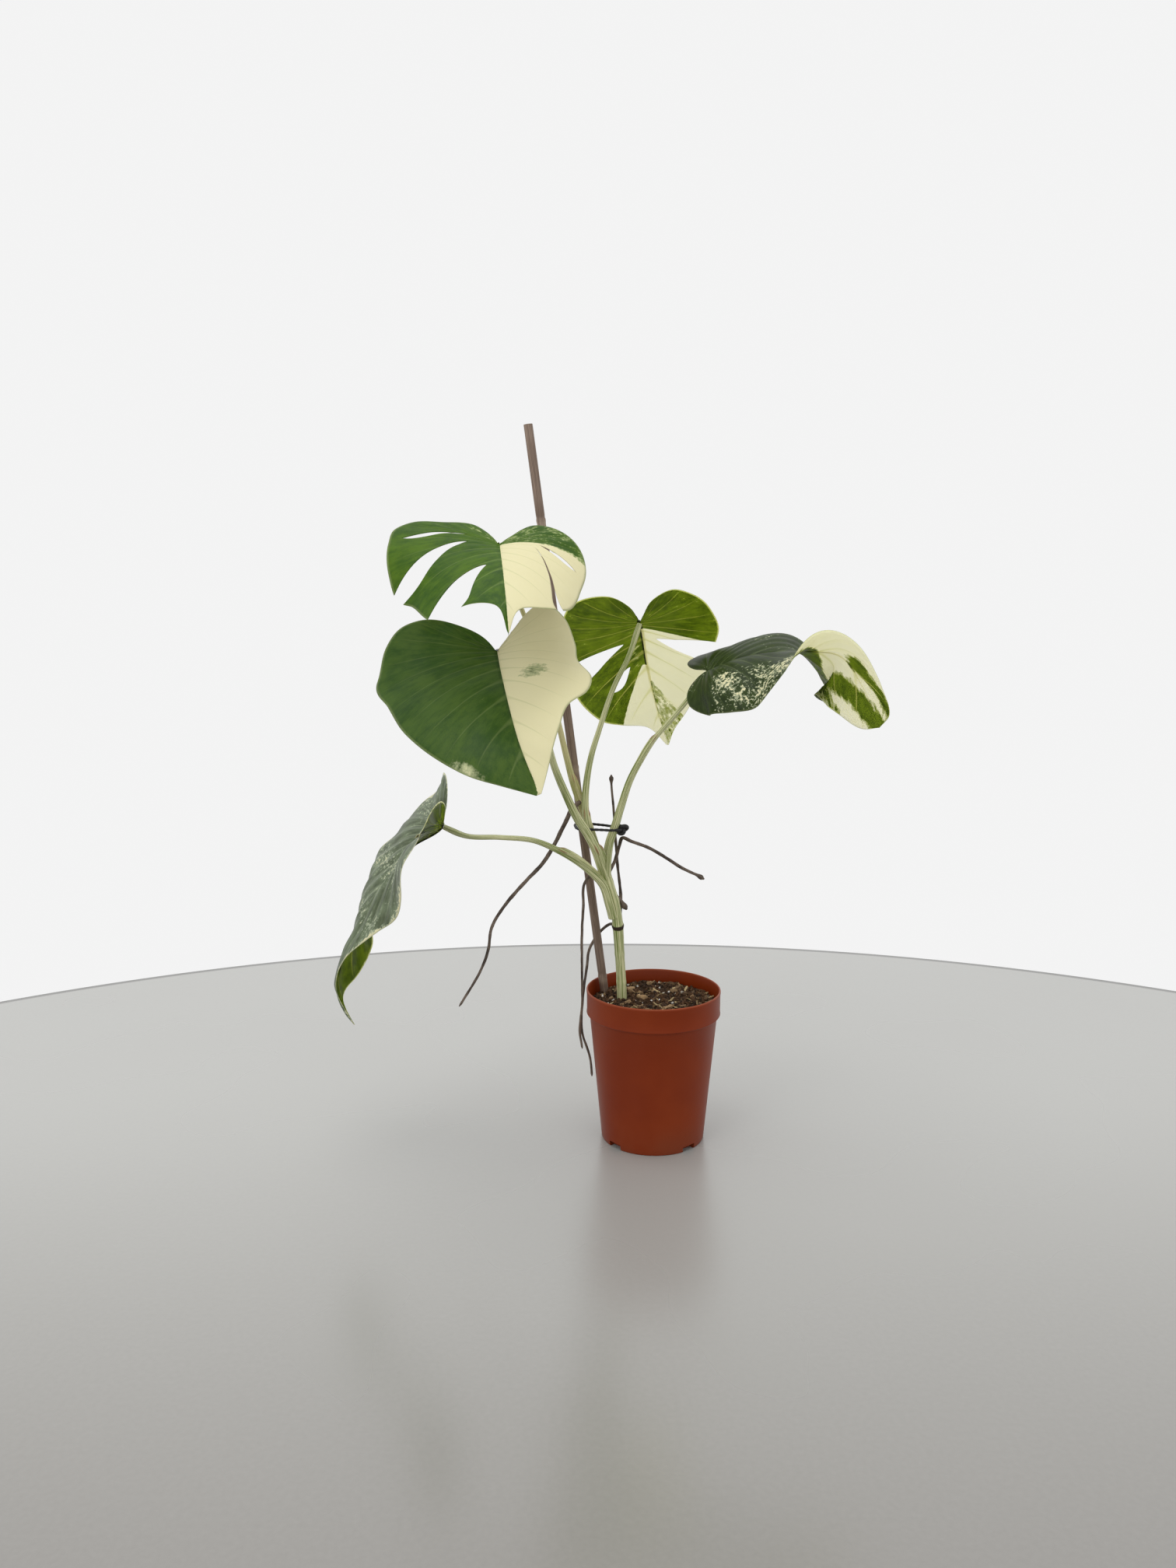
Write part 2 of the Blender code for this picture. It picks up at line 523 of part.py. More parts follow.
def leaf_mesh(name, leaf):
    """Lobe grids between the slits, joined where the slits are shut and along the midrib."""
    outward = np.linspace(0, 1, LEAF_ROWS + 1)
    shape = bmesh.new()
    for side in ("left", "right"):
        slits = leaf[side + "_slits"]
        inner_edge = (0 * outward, 0 * outward)
        outer_edge = (0 * outward + 1, 0 * outward + 1)
        edges = [inner_edge, *[slit_edges(slit, outward) for slit in slits], outer_edge]
        bounds = [0, *[round(LEAF_COLUMNS * slit[1]) for slit in slits], LEAF_COLUMNS]
        for (_, low), (high, _), first, last in zip(edges, edges[1:], bounds, bounds[1:]):
            add_lobe(shape, leaf, side, low, high, first, last)
    bmesh.ops.remove_doubles(shape, verts=shape.verts, dist=0.01)
    bmesh.ops.dissolve_degenerate(shape, edges=shape.edges, dist=0.01)
    mesh = bpy.data.meshes.new(name)
    shape.to_mesh(mesh)
    shape.free()
    return mesh


def make_leaves():
    green = material("leaf_green", (0.06, 0.13, 0.03), 0.4)
    for number, leaf in LEAVES.items():
        name = "leaf_%d" % number
        obj = put(name, leaf_mesh(name, leaf), PLANT, green)
        solidify = obj.modifiers.new("thickness", "SOLIDIFY")
        solidify.thickness = LEAF_THICKNESS * CM
        solidify.offset = 0


# ---- Roots and tie ----

def outside_pot(turn, above_rim, clearance):
    """A place beside the pot's left side, clear of the rim band above and of the wall below it."""
    height = POT_HEIGHT + above_rim
    pot_radius = POT_RIM_RADIUS if height > BAND_FOOT - 1 else wall_radius(height)
    radius = pot_radius + ROOT_OUTSIDE + clearance
    return (-radius * math.cos(turn), radius * math.sin(turn), height)


def make_roots():
    colour = material("root_brown", (0.05, 0.04, 0.03), 0.75)
    routes = {name: (above_soil(route), start, end) for name, (route, start, end) in ROOTS.items()}
    for name, (route, beside_pot, start, end) in HANGING_ROOTS.items():
        routes[name] = ([*above_soil(route), *[outside_pot(*place) for place in beside_pot]], start, end)
    cutters = ["cane", "main_stem", *STALK_NAMES]
    for name, (route, start, end) in routes.items():
        share = distances(route) / distances(route)[-1]
        tube(name, route, start + (end - start) * share, colour, spacing=0.9, cutters=cutters)
        cutters.append(name)


def knot_ball():
    mesh = bpy.data.meshes.new("tie_knot")
    shape = bmesh.new()
    bmesh.ops.create_uvsphere(shape, u_segments=14, v_segments=9, radius=TIE_KNOT_RADIUS)
    bmesh.ops.translate(shape, vec=(*TIE_KNOT_AT, SOIL_TOP + TIE_HEIGHT), verts=shape.verts)
    shape.to_mesh(mesh)
    shape.free()
    return put("tie_knot", mesh, CUTTERS)


def make_tie():
    """One closed loop of twine, with the knot as a ball that the loop runs into."""
    cane = cane_at(TIE_HEIGHT)
    reach = CANE_RADIUS + TIE_RADIUS + GAP
    turns = np.radians(TIE_BACK_TURNS)
    back = [(cane[0] + reach * math.cos(turn), cane[1] + reach * math.sin(turn)) for turn in turns]
    lap = above_soil([(x, y, TIE_HEIGHT) for x, y in [*TIE_FRONT, *back]])
    knots = distances([*lap, lap[0]])
    places = np.linspace(0, knots[-1], TIE_POINTS, endpoint=False)
    # A lap before and a lap after let the loop close smoothly.
    three_knots = np.concatenate([knots[:-1] - knots[-1], knots[:-1], knots + knots[-1]])
    points = through(three_knots, [*lap, *lap, *lap, lap[0]], places)
    mesh = curve_mesh("plant_tie", points, [TIE_RADIUS] * TIE_POINTS, closed=True)
    tie = put("plant_tie", mesh, PLANT, material("black_tie", (0.012, 0.012, 0.014), 0.5))
    union = tie.modifiers.new("knot", "BOOLEAN")
    union.operation = "UNION"
    union.solver = "EXACT"
    union.object = knot_ball()
    for name in ["cane", *STALK_NAMES, *ROOTS]:
        cut(tie, ROOMS[name])


# ---- Build ----

PLANT = new_collection("potted_monstera")
CUTTERS = new_collection("cutters")
ROOMS = {}
STALK_NAMES = ["petiole_%d" % number for number in STALKS]
make_pot()
make_leaves()
make_cane()
make_stem()
make_soil()
make_stalks()
make_roots()
make_tie()
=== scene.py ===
# %% [markdown]
# # A young variegated monstera in its nursery pot
#
# This lesson dresses a plain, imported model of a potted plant: five big leaves on grooved stalks,
# a short stem, stiff aerial roots, a leaning cane with a black tie, and a plastic pot of peat and
# bark. The plain model gives every size and place. Each cell below makes one piece or one finish.

# %% Load the plain model
import math

import bpy
import numpy as np
from mathutils import Euler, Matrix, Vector, noise


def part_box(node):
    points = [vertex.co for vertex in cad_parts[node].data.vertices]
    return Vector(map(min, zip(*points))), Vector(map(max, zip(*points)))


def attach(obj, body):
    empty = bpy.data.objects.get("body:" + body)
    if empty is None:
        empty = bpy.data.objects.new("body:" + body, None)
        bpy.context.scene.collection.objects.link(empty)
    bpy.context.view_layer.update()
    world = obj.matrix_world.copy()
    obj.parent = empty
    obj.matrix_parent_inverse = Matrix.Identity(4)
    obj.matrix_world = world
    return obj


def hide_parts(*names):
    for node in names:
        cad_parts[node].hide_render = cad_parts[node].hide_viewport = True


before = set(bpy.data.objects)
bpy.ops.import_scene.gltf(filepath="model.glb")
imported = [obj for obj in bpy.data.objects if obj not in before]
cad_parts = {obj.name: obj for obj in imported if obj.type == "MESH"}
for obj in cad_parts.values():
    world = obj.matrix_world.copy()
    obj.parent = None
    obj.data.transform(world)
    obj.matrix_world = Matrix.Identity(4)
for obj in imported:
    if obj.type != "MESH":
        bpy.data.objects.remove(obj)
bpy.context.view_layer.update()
CM = 0.01
NOISE_SEED = 21
noise.seed_set(NOISE_SEED)

# %% [markdown]
# ## Sizes from the plain model
#
# Lengths in this lesson are in centimetres and heights of the plant count from the middle of the
# mix's top, as a gardener would measure them. The pot and the mix of the plain model say where that is.

# %% Read the sizes
pot_high = np.array(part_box("pot")[1]) / CM
mix_high = np.array(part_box("potting_mix")[1]) / CM
cane_low, cane_high = [np.array(corner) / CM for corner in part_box("cane")]
MIX_CROWN = 0.15
SOIL_TOP = mix_high[2] - MIX_CROWN
POT_HEIGHT = pot_high[2]
RIM_RADIUS = pot_high[0]
POT_FOOT_RADIUS = 4.6
POT_WALL = 0.15
POT_FLOOR = 0.25
RIM_BAND_HEIGHT = 2.2
RIM_BAND_STEP = 0.3
BAND_FOOT = POT_HEIGHT - RIM_BAND_HEIGHT
WALL_TOP = RIM_RADIUS - RIM_BAND_STEP


def outer_wall(height):
    """The pot's outer radius at a height below the rim band."""
    return POT_FOOT_RADIUS + (WALL_TOP - POT_FOOT_RADIUS) * min(height, BAND_FOOT) / BAND_FOOT


print("pot height", round(POT_HEIGHT, 2), "rim radius", round(RIM_RADIUS, 2), "mix top", round(SOIL_TOP, 2))

# %% [markdown]
# ## Two kinds of helper
#
# The first kind does what a hand does in Blender: it deselects everything, picks an object, steps into
# edit mode, applies a modifier. The second kind draws a smooth curve through chosen points, which is
# how every stalk, root and leaf gets its line.


# %% Hand helpers
MERGE_DISTANCE = 0.00002


def pick(obj):
    bpy.ops.object.select_all(action="DESELECT")
    obj.select_set(True)
    bpy.context.view_layer.objects.active = obj


def added(name):
    """Names the primitive that was just added."""
    obj = bpy.context.active_object
    obj.name = name
    obj.data.name = name
    return obj


def edit(obj, *steps):
    """Steps into edit mode with all of the mesh selected, runs the steps and steps out again."""
    pick(obj)
    bpy.ops.object.mode_set(mode="EDIT")
    bpy.ops.mesh.select_all(action="SELECT")
    for step in steps:
        step()
    bpy.ops.object.mode_set(mode="OBJECT")


def merge_points():
    bpy.ops.mesh.remove_doubles(threshold=MERGE_DISTANCE)


def face_outwards():
    bpy.ops.mesh.normals_make_consistent(inside=False)


def apply_modifier(obj, name, kind, **settings):
    modifier = obj.modifiers.new(name, kind)
    for setting, value in settings.items():
        setattr(modifier, setting, value)
    pick(obj)
    bpy.ops.object.modifier_apply(modifier=modifier.name)


def join(name, pieces):
    pick(pieces[0])
    for piece in pieces:
        piece.select_set(True)
    bpy.ops.object.join()
    return added(name)


def places_of(mesh):
    places = np.zeros(len(mesh.vertices) * 3)
    mesh.vertices.foreach_get("co", places)
    return places.reshape(-1, 3)


def new_grid(name, columns, rows):
    """A grid, and each of its points as two shares from 0 to 1: across its columns and along its rows."""
    bpy.ops.object.select_all(action="DESELECT")
    bpy.ops.mesh.primitive_grid_add(x_subdivisions=columns, y_subdivisions=rows, size=1)
    grid = added(name)
    shares = places_of(grid.data) + 0.5
    return grid, shares[:, 0], shares[:, 1]


def set_places(mesh, places):
    mesh.vertices.foreach_set("co", np.asarray(places, float).ravel())
    mesh.update()


def note(mesh, name, values):
    """Keeps one number for each point, which a material can read by its name."""
    kept = mesh.attributes.new(name, "FLOAT", "POINT")
    kept.data.foreach_set("value", np.asarray(values, np.float32))


def noted(mesh, name):
    values = np.zeros(len(mesh.vertices), np.float32)
    mesh.attributes[name].data.foreach_get("value", values)
    return values.astype(float)


def finish_piece(obj, nodes, materials=(), smooth=None):
    """Gives a piece its finish, hangs it under the root body and hides the plain nodes it stands for."""
    for material in materials:
        obj.data.materials.append(material)
    pick(obj)
    if smooth:
        bpy.ops.object.shade_smooth_by_angle(angle=math.radians(smooth))
    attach(obj, "root")
    if nodes:
        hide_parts(*nodes)
    print(obj.name, len(obj.data.polygons), "faces")


# %% Curve helpers
def through(knots, values, at):
    """Reads a smooth curve that passes through each value at its knot."""
    knots = np.asarray(knots, float)
    values = np.asarray(values, float)
    slopes = np.gradient(values, knots, axis=0)
    at = np.clip(np.atleast_1d(np.asarray(at, float)), knots[0], knots[-1])
    left = np.clip(np.searchsorted(knots, at, side="right") - 1, 0, len(knots) - 2)
    column = (len(at),) + (1,) * (values.ndim - 1)
    gap = (knots[left + 1] - knots[left]).reshape(column)
    x = (at - knots[left]).reshape(column) / gap
    near = (1 + 2 * x) * (1 - x) ** 2 * values[left] + x * (1 - x) ** 2 * gap * slopes[left]
    far = x * x * (3 - 2 * x) * values[left + 1] + x * x * (x - 1) * gap * slopes[left + 1]
    return near + far


def distances(points):
    steps = np.linalg.norm(np.diff(np.asarray(points, float), axis=0), axis=1)
    return np.concatenate([[0.0], np.cumsum(steps)])


def unit(vectors):
    return vectors / np.linalg.norm(vectors, axis=-1, keepdims=True)


def ramp(low, high, value):
    """Goes smoothly from 0 at low to 1 at high."""
    x = np.clip((np.asarray(value, float) - low) / (high - low), 0, 1)
    return x * x * (3 - 2 * x)


def hump(middle, width, value):
    return np.exp(-(((np.asarray(value, float) - middle) / width) ** 2))


def above_soil(points):
    return [(x, y, z + SOIL_TOP) for x, y, z in points]


# %% [markdown]
# ## Node helpers
#
# Materials here are built from nodes in code. A `Wire` is the output of a node, and plain arithmetic on
# wires adds the nodes that calculate the result. An effect that several materials share is a node
# group: it takes named numbers and colours and gives back a colour, a roughness and a height. The
# Principled shader itself stays in each material. Colours are given as they look on a screen, 0 to 255.


# %% Node helpers
COLOUR = "NodeSocketColor"
NUMBER = "NodeSocketFloat"
DIRECTION = "NodeSocketVector"
SHADER = "Principled BSDF"
PAINTED = {"Colour": COLOUR, "Roughness": NUMBER, "Height": NUMBER}


class Wire:
    """The output of a node. Arithmetic on it adds nodes to the same tree."""

    def __init__(self, socket):
        self.socket = socket
        self.tree = socket.id_data

    def __add__(self, other):
        return calculate("ADD", self, other)

    def __sub__(self, other):
        return calculate("SUBTRACT", self, other)

    def __mul__(self, other):
        return calculate("MULTIPLY", self, other)

    def __truediv__(self, other):
        return calculate("DIVIDE", self, other)


def calculate(operation, first, second=0.0, clamp=False):
    tree = first.tree if isinstance(first, Wire) else second.tree
    return add_node(tree, "ShaderNodeMath", {0: first, 1: second}, operation=operation, use_clamp=clamp)[0]


def screen_colour(red, green, blue):
    """Turns a colour as it looks on a screen into the linear light that a shader wants."""
    shares = [value / 255 for value in (red, green, blue)]
    return (*[v / 12.92 if v <= 0.04045 else ((v + 0.055) / 1.055) ** 2.4 for v in shares], 1.0)


def feed(socket, value):
    """Links a wire to a socket, or sets the socket to a plain value or colour."""
    if isinstance(value, Wire):
        value.tree.links.new(value.socket, socket)
    else:
        socket.default_value = screen_colour(*value) if socket.type == "RGBA" else value


def add_node(tree, kind, values=None, **settings):
    """Adds a node, feeds its inputs and gives back its outputs as wires, by number and by name."""
    made = tree.nodes.new(kind)
    for setting, value in settings.items():
        setattr(made, setting, value)
    for socket, value in (values or {}).items():
        feed(made.inputs[socket], value)
    wires = {}
    for number, output in enumerate(made.outputs):
        wires[number] = wires[output.name] = Wire(output)
    return wires


def between(value, low, high, start=0.0, end=1.0):
    """Maps low..high smoothly onto start..end."""
    values = {"Value": value, "From Min": low, "From Max": high, "To Min": start, "To Max": end}
    return add_node(value.tree, "ShaderNodeMapRange", values, interpolation_type="SMOOTHSTEP")[0]


def blend(share, first, second):
    """Mixes two colours by a share from 0 to 1."""
    return add_node(share.tree, "ShaderNodeMix", {0: share, 6: first, 7: second}, data_type="RGBA")[2]


def patches(place, scale, detail=3.0, roughness=0.5):
    values = {"Vector": place, "Scale": scale, "Detail": detail, "Roughness": roughness}
    return add_node(place.tree, "ShaderNodeTexNoise", values)[0]


def combine(x, y, z=0.0):
    return add_node(x.tree, "ShaderNodeCombineXYZ", {0: x, 1: y, 2: z})[0]


def object_place(tree):
    return add_node(tree, "ShaderNodeTexCoord")["Object"]


def kept_number(tree, name):
    return add_node(tree, "ShaderNodeAttribute", attribute_name=name)["Fac"]


def round_place(around, along, size, stretch):
    """A place on a bar's skin for noise that has no seam and is drawn out lengthwise."""
    turn = around * math.tau
    return combine(calculate("SINE", turn) * size, calculate("COSINE", turn) * size, along * stretch)


def new_group(name, inputs):
    """A node group with named inputs of each kind, and a colour, a roughness and a height to give."""
    group = bpy.data.node_groups.new(name, "ShaderNodeTree")
    for kind, sockets in inputs.items():
        for socket in sockets:
            group.interface.new_socket(socket, in_out="INPUT", socket_type=kind)
    for socket, kind in PAINTED.items():
        group.interface.new_socket(socket, in_out="OUTPUT", socket_type=kind)
    return group, add_node(group, "NodeGroupInput")


def end_group(group, *values):
    add_node(group, "NodeGroupOutput", dict(zip(PAINTED, values)))


def new_material(name, **sockets):
    """A material and its tree, with the plain sockets of its Principled shader set."""
    material = bpy.data.materials.new(name)
    material.use_nodes = True
    tree = material.node_tree
    for socket, value in sockets.items():
        tree.nodes[SHADER].inputs[socket.replace("_", " ")].default_value = value
    return material, tree


def paint(tree, colour, roughness, height=None, depth=0.0005, strength=1.0):
    """Feeds a colour, a roughness and a height, with its depth in metres, into a tree's shader."""
    inputs = tree.nodes[SHADER].inputs
    feed(inputs["Base Color"], colour)
    feed(inputs["Roughness"], roughness)
    if height is not None:
        values = {"Height": height, "Strength": strength, "Distance": depth}
        feed(inputs["Normal"], add_node(tree, "ShaderNodeBump", values)[0])


def paint_with_group(tree, group, values, depth, strength):
    painted = add_node(tree, "ShaderNodeGroup", values, node_tree=group)
    paint(tree, *[painted[name] for name in PAINTED], depth, strength)


# %% [markdown]
# ## Floor, light and camera
#
# The plant stands on a round, pale studio floor in front of white. Two wide, soft lights from above
# leave almost no hard shadow. The camera stands about a metre away, as high as the upper leaves, and
# looks slightly down.

# %% Floor
FLOOR_RADIUS = 1.23
FLOOR_DEPTH = 0.02
FLOOR_MIDDLE = (-0.02, -0.59)
bpy.ops.object.select_all(action="DESELECT")
bpy.ops.mesh.primitive_cylinder_add(
    vertices=256, radius=FLOOR_RADIUS, depth=FLOOR_DEPTH, location=(*FLOOR_MIDDLE, -FLOOR_DEPTH / 2))
floor = added("studio_floor")
bpy.ops.object.transform_apply(location=True)
material, tree = new_material("pale_floor", IOR=2.1)
place = object_place(tree)
from_middle = {0: place, 1: (*FLOOR_MIDDLE, 0.0)}
reach = add_node(tree, "ShaderNodeVectorMath", from_middle, operation="DISTANCE")["Value"]
away = add_node(tree, "ShaderNodeSeparateXYZ", {0: place})["Y"]
# The floor is painted darker towards the camera: painted shade where the studio lights fall off.
pale = blend(between(away, -0.75, 0.15), (118, 114, 108), (174, 174, 170))
pale = blend(patches(place, 260.0, 2.0) * 0.08, pale, (206, 205, 200))
dark_rim = between(reach, FLOOR_RADIUS - 0.012, FLOOR_RADIUS - 0.006) * 0.7
pale = blend(dark_rim, pale, (70, 69, 67))
paint(tree, pale, between(patches(place, 3.0, 2.0), 0.3, 0.7, 0.22, 0.3))
floor.data.materials.append(material)

# %% Light
world = bpy.data.worlds.new("white_studio")
world.use_nodes = True
background = world.node_tree.nodes["Background"].inputs
background["Color"].default_value = (1.0, 1.0, 1.0, 1.0)
background["Strength"].default_value = 0.9
bpy.context.scene.world = world
bpy.context.scene.view_settings.view_transform = "Standard"


def soft_light(name, place, aim, size, power):
    lamp = bpy.data.lights.new(name, "AREA")
    lamp.shape = "DISK"
    lamp.size = size
    lamp.energy = power
    holder = bpy.data.objects.new(name, lamp)
    holder.location = place
    holder.rotation_euler = (Vector(aim) - Vector(place)).to_track_quat("-Z", "Y").to_euler()
    bpy.context.scene.collection.objects.link(holder)


PLANT_MIDDLE = (-0.06, 0.0, 0.35)
soft_light("top_light", (-0.3, -0.3, 2.0), PLANT_MIDDLE, 1.2, 9)
soft_light("front_light", (-1.2, -1.5, 1.5), PLANT_MIDDLE, 1.0, 6)

# %% Camera
PITCH_DOWN = 7.73
camera_data = bpy.data.cameras.new("camera")
camera_data.lens = 26.79
camera = bpy.data.objects.new("camera", camera_data)
camera.location = (-0.05855, -1.0103, 0.4584)
camera.rotation_euler = (math.radians(90 - PITCH_DOWN), 0, 0)
bpy.context.scene.collection.objects.link(camera)
bpy.context.scene.camera = camera

# %% [markdown]
# ## How a leaf is described
#
# A monstera leaf is a thin blade on a midrib. Its side veins leave the midrib and curve out to the
# margin. The leaf is described flat: an outline for each half, slits between side veins, and a spine
# in space that the flat leaf is bent onto, with a fold and a curl for each half. Each row of the
# spine is (place), (the way the upper face looks), (left fold and curl), (right fold and curl). A slit
# is the vein it starts at, the vein it ends at, its half width, its start and end along the vein, and
# how far it's open at the margin, from 0 to 1. A wave is a ripple's height, period and shift.

# %% The five leaves
LEAVES = {
    1: dict(
        spine=[((-13.4, -4.0, 42.4), (0, -0.5, 1), (16, -3), (20, -5)),
               ((-12.7, -9.5, 39.4), (0, -0.5, 1), (14, -4), (16, -6)),
               ((-12.1, -14.2, 36.9), (0, -0.5, 1), (4, -6), (6, -8)),
               ((-11.6, -18.0, 34.2), (0, -0.7, 1), (0, -6), (0, -8)),
               ((-11.4, -19.2, 32.6), (0, -0.9, 1), (0, -4), (0, -4))],
        left=[(0, 0), (0.9, -2.0), (1.8, -3.0), (4.3, -3.3), (6.8, -3.7), (8.1, -3.1), (8.6, -1.4),
              (8.8, 1.8), (8.5, 4.0), (7.4, 5.4), (5.1, 8.7), (3.8, 8.6), (2.4, 8.6), (0.8, 9.2)],
        right=[(0, 0), (1.1, -1.0), (2.9, -2.2), (4.3, -1.8), (5.7, -0.6), (6.5, 0.9), (6.8, 2.5), (6.4, 4.6),
               (4.6, 8.4), (2.8, 9.3), (1.0, 9.8)],
        left_slits=[(0.22, 0.375, 0.014, 0.3, 0.87, 0), (0.36, 0.567, 0.042, 0.27, 1, 0.3),
                    (0.66, 0.765, 0.056, 0.18, 1, 0.8)],
        right_slits=[(0.43, 0.5, 0.014, 0.45, 0.87, 0), (0.44, 0.745, 0.016, 0.4, 1, 1)]),
    2: dict(
        spine=[((-13.8, -6.4, 36.0), (0.1, -0.9, 0.5), (6, -4), (40, -9)),
               ((-13.0, -9.0, 31.2), (0.1, -0.7, 0.75), (6, -4), (40, -9)),
               ((-11.9, -13.6, 27.6), (0.1, -0.75, 0.75), (6, -4), (36, -7)),
               ((-10.6, -17.6, 24.2), (0.1, -0.8, 0.7), (4, -3), (30, -6)),
               ((-9.2, -19.9, 21.3), (0.1, -0.8, 0.6), (0, -2), (10, -3))],
        left=[(0, 0), (0.7, -1.2), (2.8, -2.7), (5.7, -3.6), (7.6, -3.2), (8.8, -2.0), (9.7, 0.2),
              (9.9, 0.6), (9.1, 3.4), (7.9, 7.2), (6.4, 9.8), (4.3, 12.1), (2.3, 13.6)],
        right=[(0, 0), (0.6, -0.3), (1.6, -1.2), (2.8, -2.6), (4.4, -3.4), (5.8, -2.2), (6.4, 0.6),
               (6.2, 3.4), (6.8, 5.6), (6.0, 7.4), (4.4, 8.6), (3.2, 10.6), (1.7, 12.9)]),
    3: dict(
        spine=[((-2.6, 0.2, 36.4), (0, 0.6, 0.8), (-4, 3), (-4, 3)),
               ((-1.3, 3.0, 33.5), (0, 0.75, 0.65), (-4, 3), (-4, 3)),
               ((-0.5, 5.6, 29.8), (0, 0.8, 0.6), (-4, 3), (-4, 3)),
               ((0.6, 8.2, 25.6), (0, 0.85, 0.5), (-4, 3), (-4, 3)),
               ((1.8, 9.8, 21.8), (0, 0.9, 0.4), (0, 2), (0, 2))],
        left=[(0, 0), (0.4, -0.6), (1.7, -2.2), (3.7, -2.8), (5.2, -1.5), (6.4, 0.4), (6.9, 2.2), (6.5, 3.6),
              (5.9, 4.9), (5.3, 6.5), (4.4, 8.3), (2.6, 10.8), (0.9, 12.5)],
        right=[(0, 0), (0.4, -2.1), (1.6, -3.7), (3.4, -4.0), (5.6, -3.2), (6.9, -1.4), (7.3, 2.0),
               (7.4, 5.0), (7.2, 7.8), (6.4, 9.1), (5.5, 10.0), (3.6, 10.7), (1.4, 11.4)],
        left_slits=[(0.6, 0.555, 0.052, 0.2, 1, 1)],
        right_slits=[(0.58, 0.597, 0.045, 0.24, 1, 0.9), (0.7, 0.735, 0.02, 0.24, 0.62, 0)]),
    4: dict(
        spine=[((2.7, 0.4, 28.3), (-0.45, -0.5, 0.7), (26, -9), (6, -8)),
               ((4.5, -0.2, 29.4), (-0.3, -0.5, 0.8), (28, -9), (6, -9)),
               ((6.9, -1.6, 30.5), (-0.15, -0.6, 0.8), (28, -9), (-4, -6)),
               ((10.0, -3.2, 31.1), (-0.05, -0.65, 0.8), (24, -8), (-20, -3)),
               ((12.3, -4.6, 31.2), (0.15, -0.2, 0.95), (10, -8), (-46, 2)),
               ((14.6, -6.0, 30.8), (0.6, 0.65, 0.6), (0, -4), (-22, 1)),
               ((16.3, -6.8, 28.4), (0.75, 0.85, 0.35), (0, -4), (-6, -1)),
               ((17.6, -7.4, 25.1), (0.8, 0.85, 0.3), (0, -2), (0, -1))],
        left=[(0, 0), (1.6, -1.8), (3.8, -2.2), (6.0, -1.0), (6.8, 2.0), (6.7, 6.0), (5.4, 9.5),
              (2.3, 12.3), (1.6, 15.6), (1.2, 18.0)],
        right=[(0, 0), (1.2, -1.2), (3.2, -1.8), (5.0, -0.8), (5.8, 3.0), (5.8, 7.0), (4.8, 10.4),
               (4.0, 13.4), (3.2, 16.2), (1.6, 18.2)]),
    5: dict(
        spine=[((-17.4, -3.4, 18.5), (-0.95, -0.2, 0.5), (18, -3), (24, -1)),
               ((-18.3, -3.0, 16.3), (-0.96, -0.2, 0.4), (18, -3), (24, -1)),
               ((-21.0, -3.2, 14.5), (-0.97, -0.2, 0.4), (16, -3), (16, -2)),
               ((-22.8, -3.4, 12.2), (-0.98, -0.2, 0.25), (16, -3), (-4, -2)),
               ((-24.9, -3.6, 9.3), (-0.98, -0.2, 0.2), (8, -3), (-14, -2)),
               ((-26.7, -3.8, 5.6), (-0.96, -0.2, 0.1), (-24, -4), (4, -2)),
               ((-27.4, -4.0, 2.3), (-0.96, -0.2, -0.1), (-30, -4), (8, -2)),
               ((-25.9, -4.0, -1.2), (-0.8, -0.2, -0.5), (0, -2), (0, -2))],
        left=[(0, 0), (1.2, -2.2), (3.6, -3.2), (6.0, -2.4), (7.0, 0.5), (6.8, 5), (5.8, 9), (4.6, 13.5),
              (2.6, 17), (0.5, 18.4)],
        right=[(0, 0), (1.2, -2.2), (3.4, -3.2), (5.8, -2.4), (6.8, 0.6), (6.6, 4.6), (5.4, 7.8), (3.8, 11.2),
               (2.2, 14.8), (0.5, 17.6)],
        wave=(0.35, 5.0, 0.1)),
}

# %% [markdown]
# ## Bending the flat leaf into place
#
# `leaf_place` takes a flat place, across and along the leaf in centimetres, and bends it onto the
# spine. `vein_place` follows a side vein: `share` says where on the outline it ends, and `outward` how
# far along the vein to go. Laying the mesh along the veins lets the pleats and ribs follow them.


# %% Leaf places
VEIN_START = 0.3
VEIN_CROWDING = 2.6
VEIN_BOW = (0.5, 0.4)
SPINE_STEP = 0.05
LEAST_CURL = 1e-5


def leaf_spine(leaf):
    """The leaf's rows as arrays, with the knots measured from where the stalk joins."""
    places = np.array(above_soil([row[0] for row in leaf["spine"]]))
    knots = distances(places)
    upward = unit(np.array([row[1] for row in leaf["spine"]], float))
    bends = np.array([(*row[2], *row[3]) for row in leaf["spine"]], float)
    return knots - knots[1], places, upward, bends


def leaf_place(leaf, across, along):
    """Bends the flat leaf onto its spine, and gives the places and the way each half looks up."""
    knots, places, upward, bends = leaf_spine(leaf)
    step = SPINE_STEP
    inside = np.clip(along, knots[0] + step, knots[-1] - step)
    centre = through(knots, places, inside)
    forward = unit(through(knots, places, inside + step) - through(knots, places, inside - step))
    normal = through(knots, upward, inside)
    normal = unit(normal - forward * (normal * forward).sum(axis=1, keepdims=True))
    sideways = np.cross(normal, forward)
    bend = np.radians(through(knots, bends, inside))
    fold = np.where(across < 0, bend[:, 0], bend[:, 2])
    curl = np.where(across < 0, bend[:, 1], bend[:, 3])
    curl = np.where(abs(curl) < LEAST_CURL, LEAST_CURL, curl)
    width = abs(across)
    out = (np.sin(fold + curl * width) - np.sin(fold)) / curl
    rise = (np.cos(fold) - np.cos(fold + curl * width)) / curl
    if "wave" in leaf:
        height, period, shift = leaf["wave"]
        ripple = np.sin(math.tau * (along / period + shift) + 0.6 * np.sign(across))
        rise = rise + height * (width / 8) ** 2 * ripple
    centre = centre + forward * (along - inside)[:, None]
    return centre + sideways * (np.sign(across) * out)[:, None] + normal * rise[:, None]


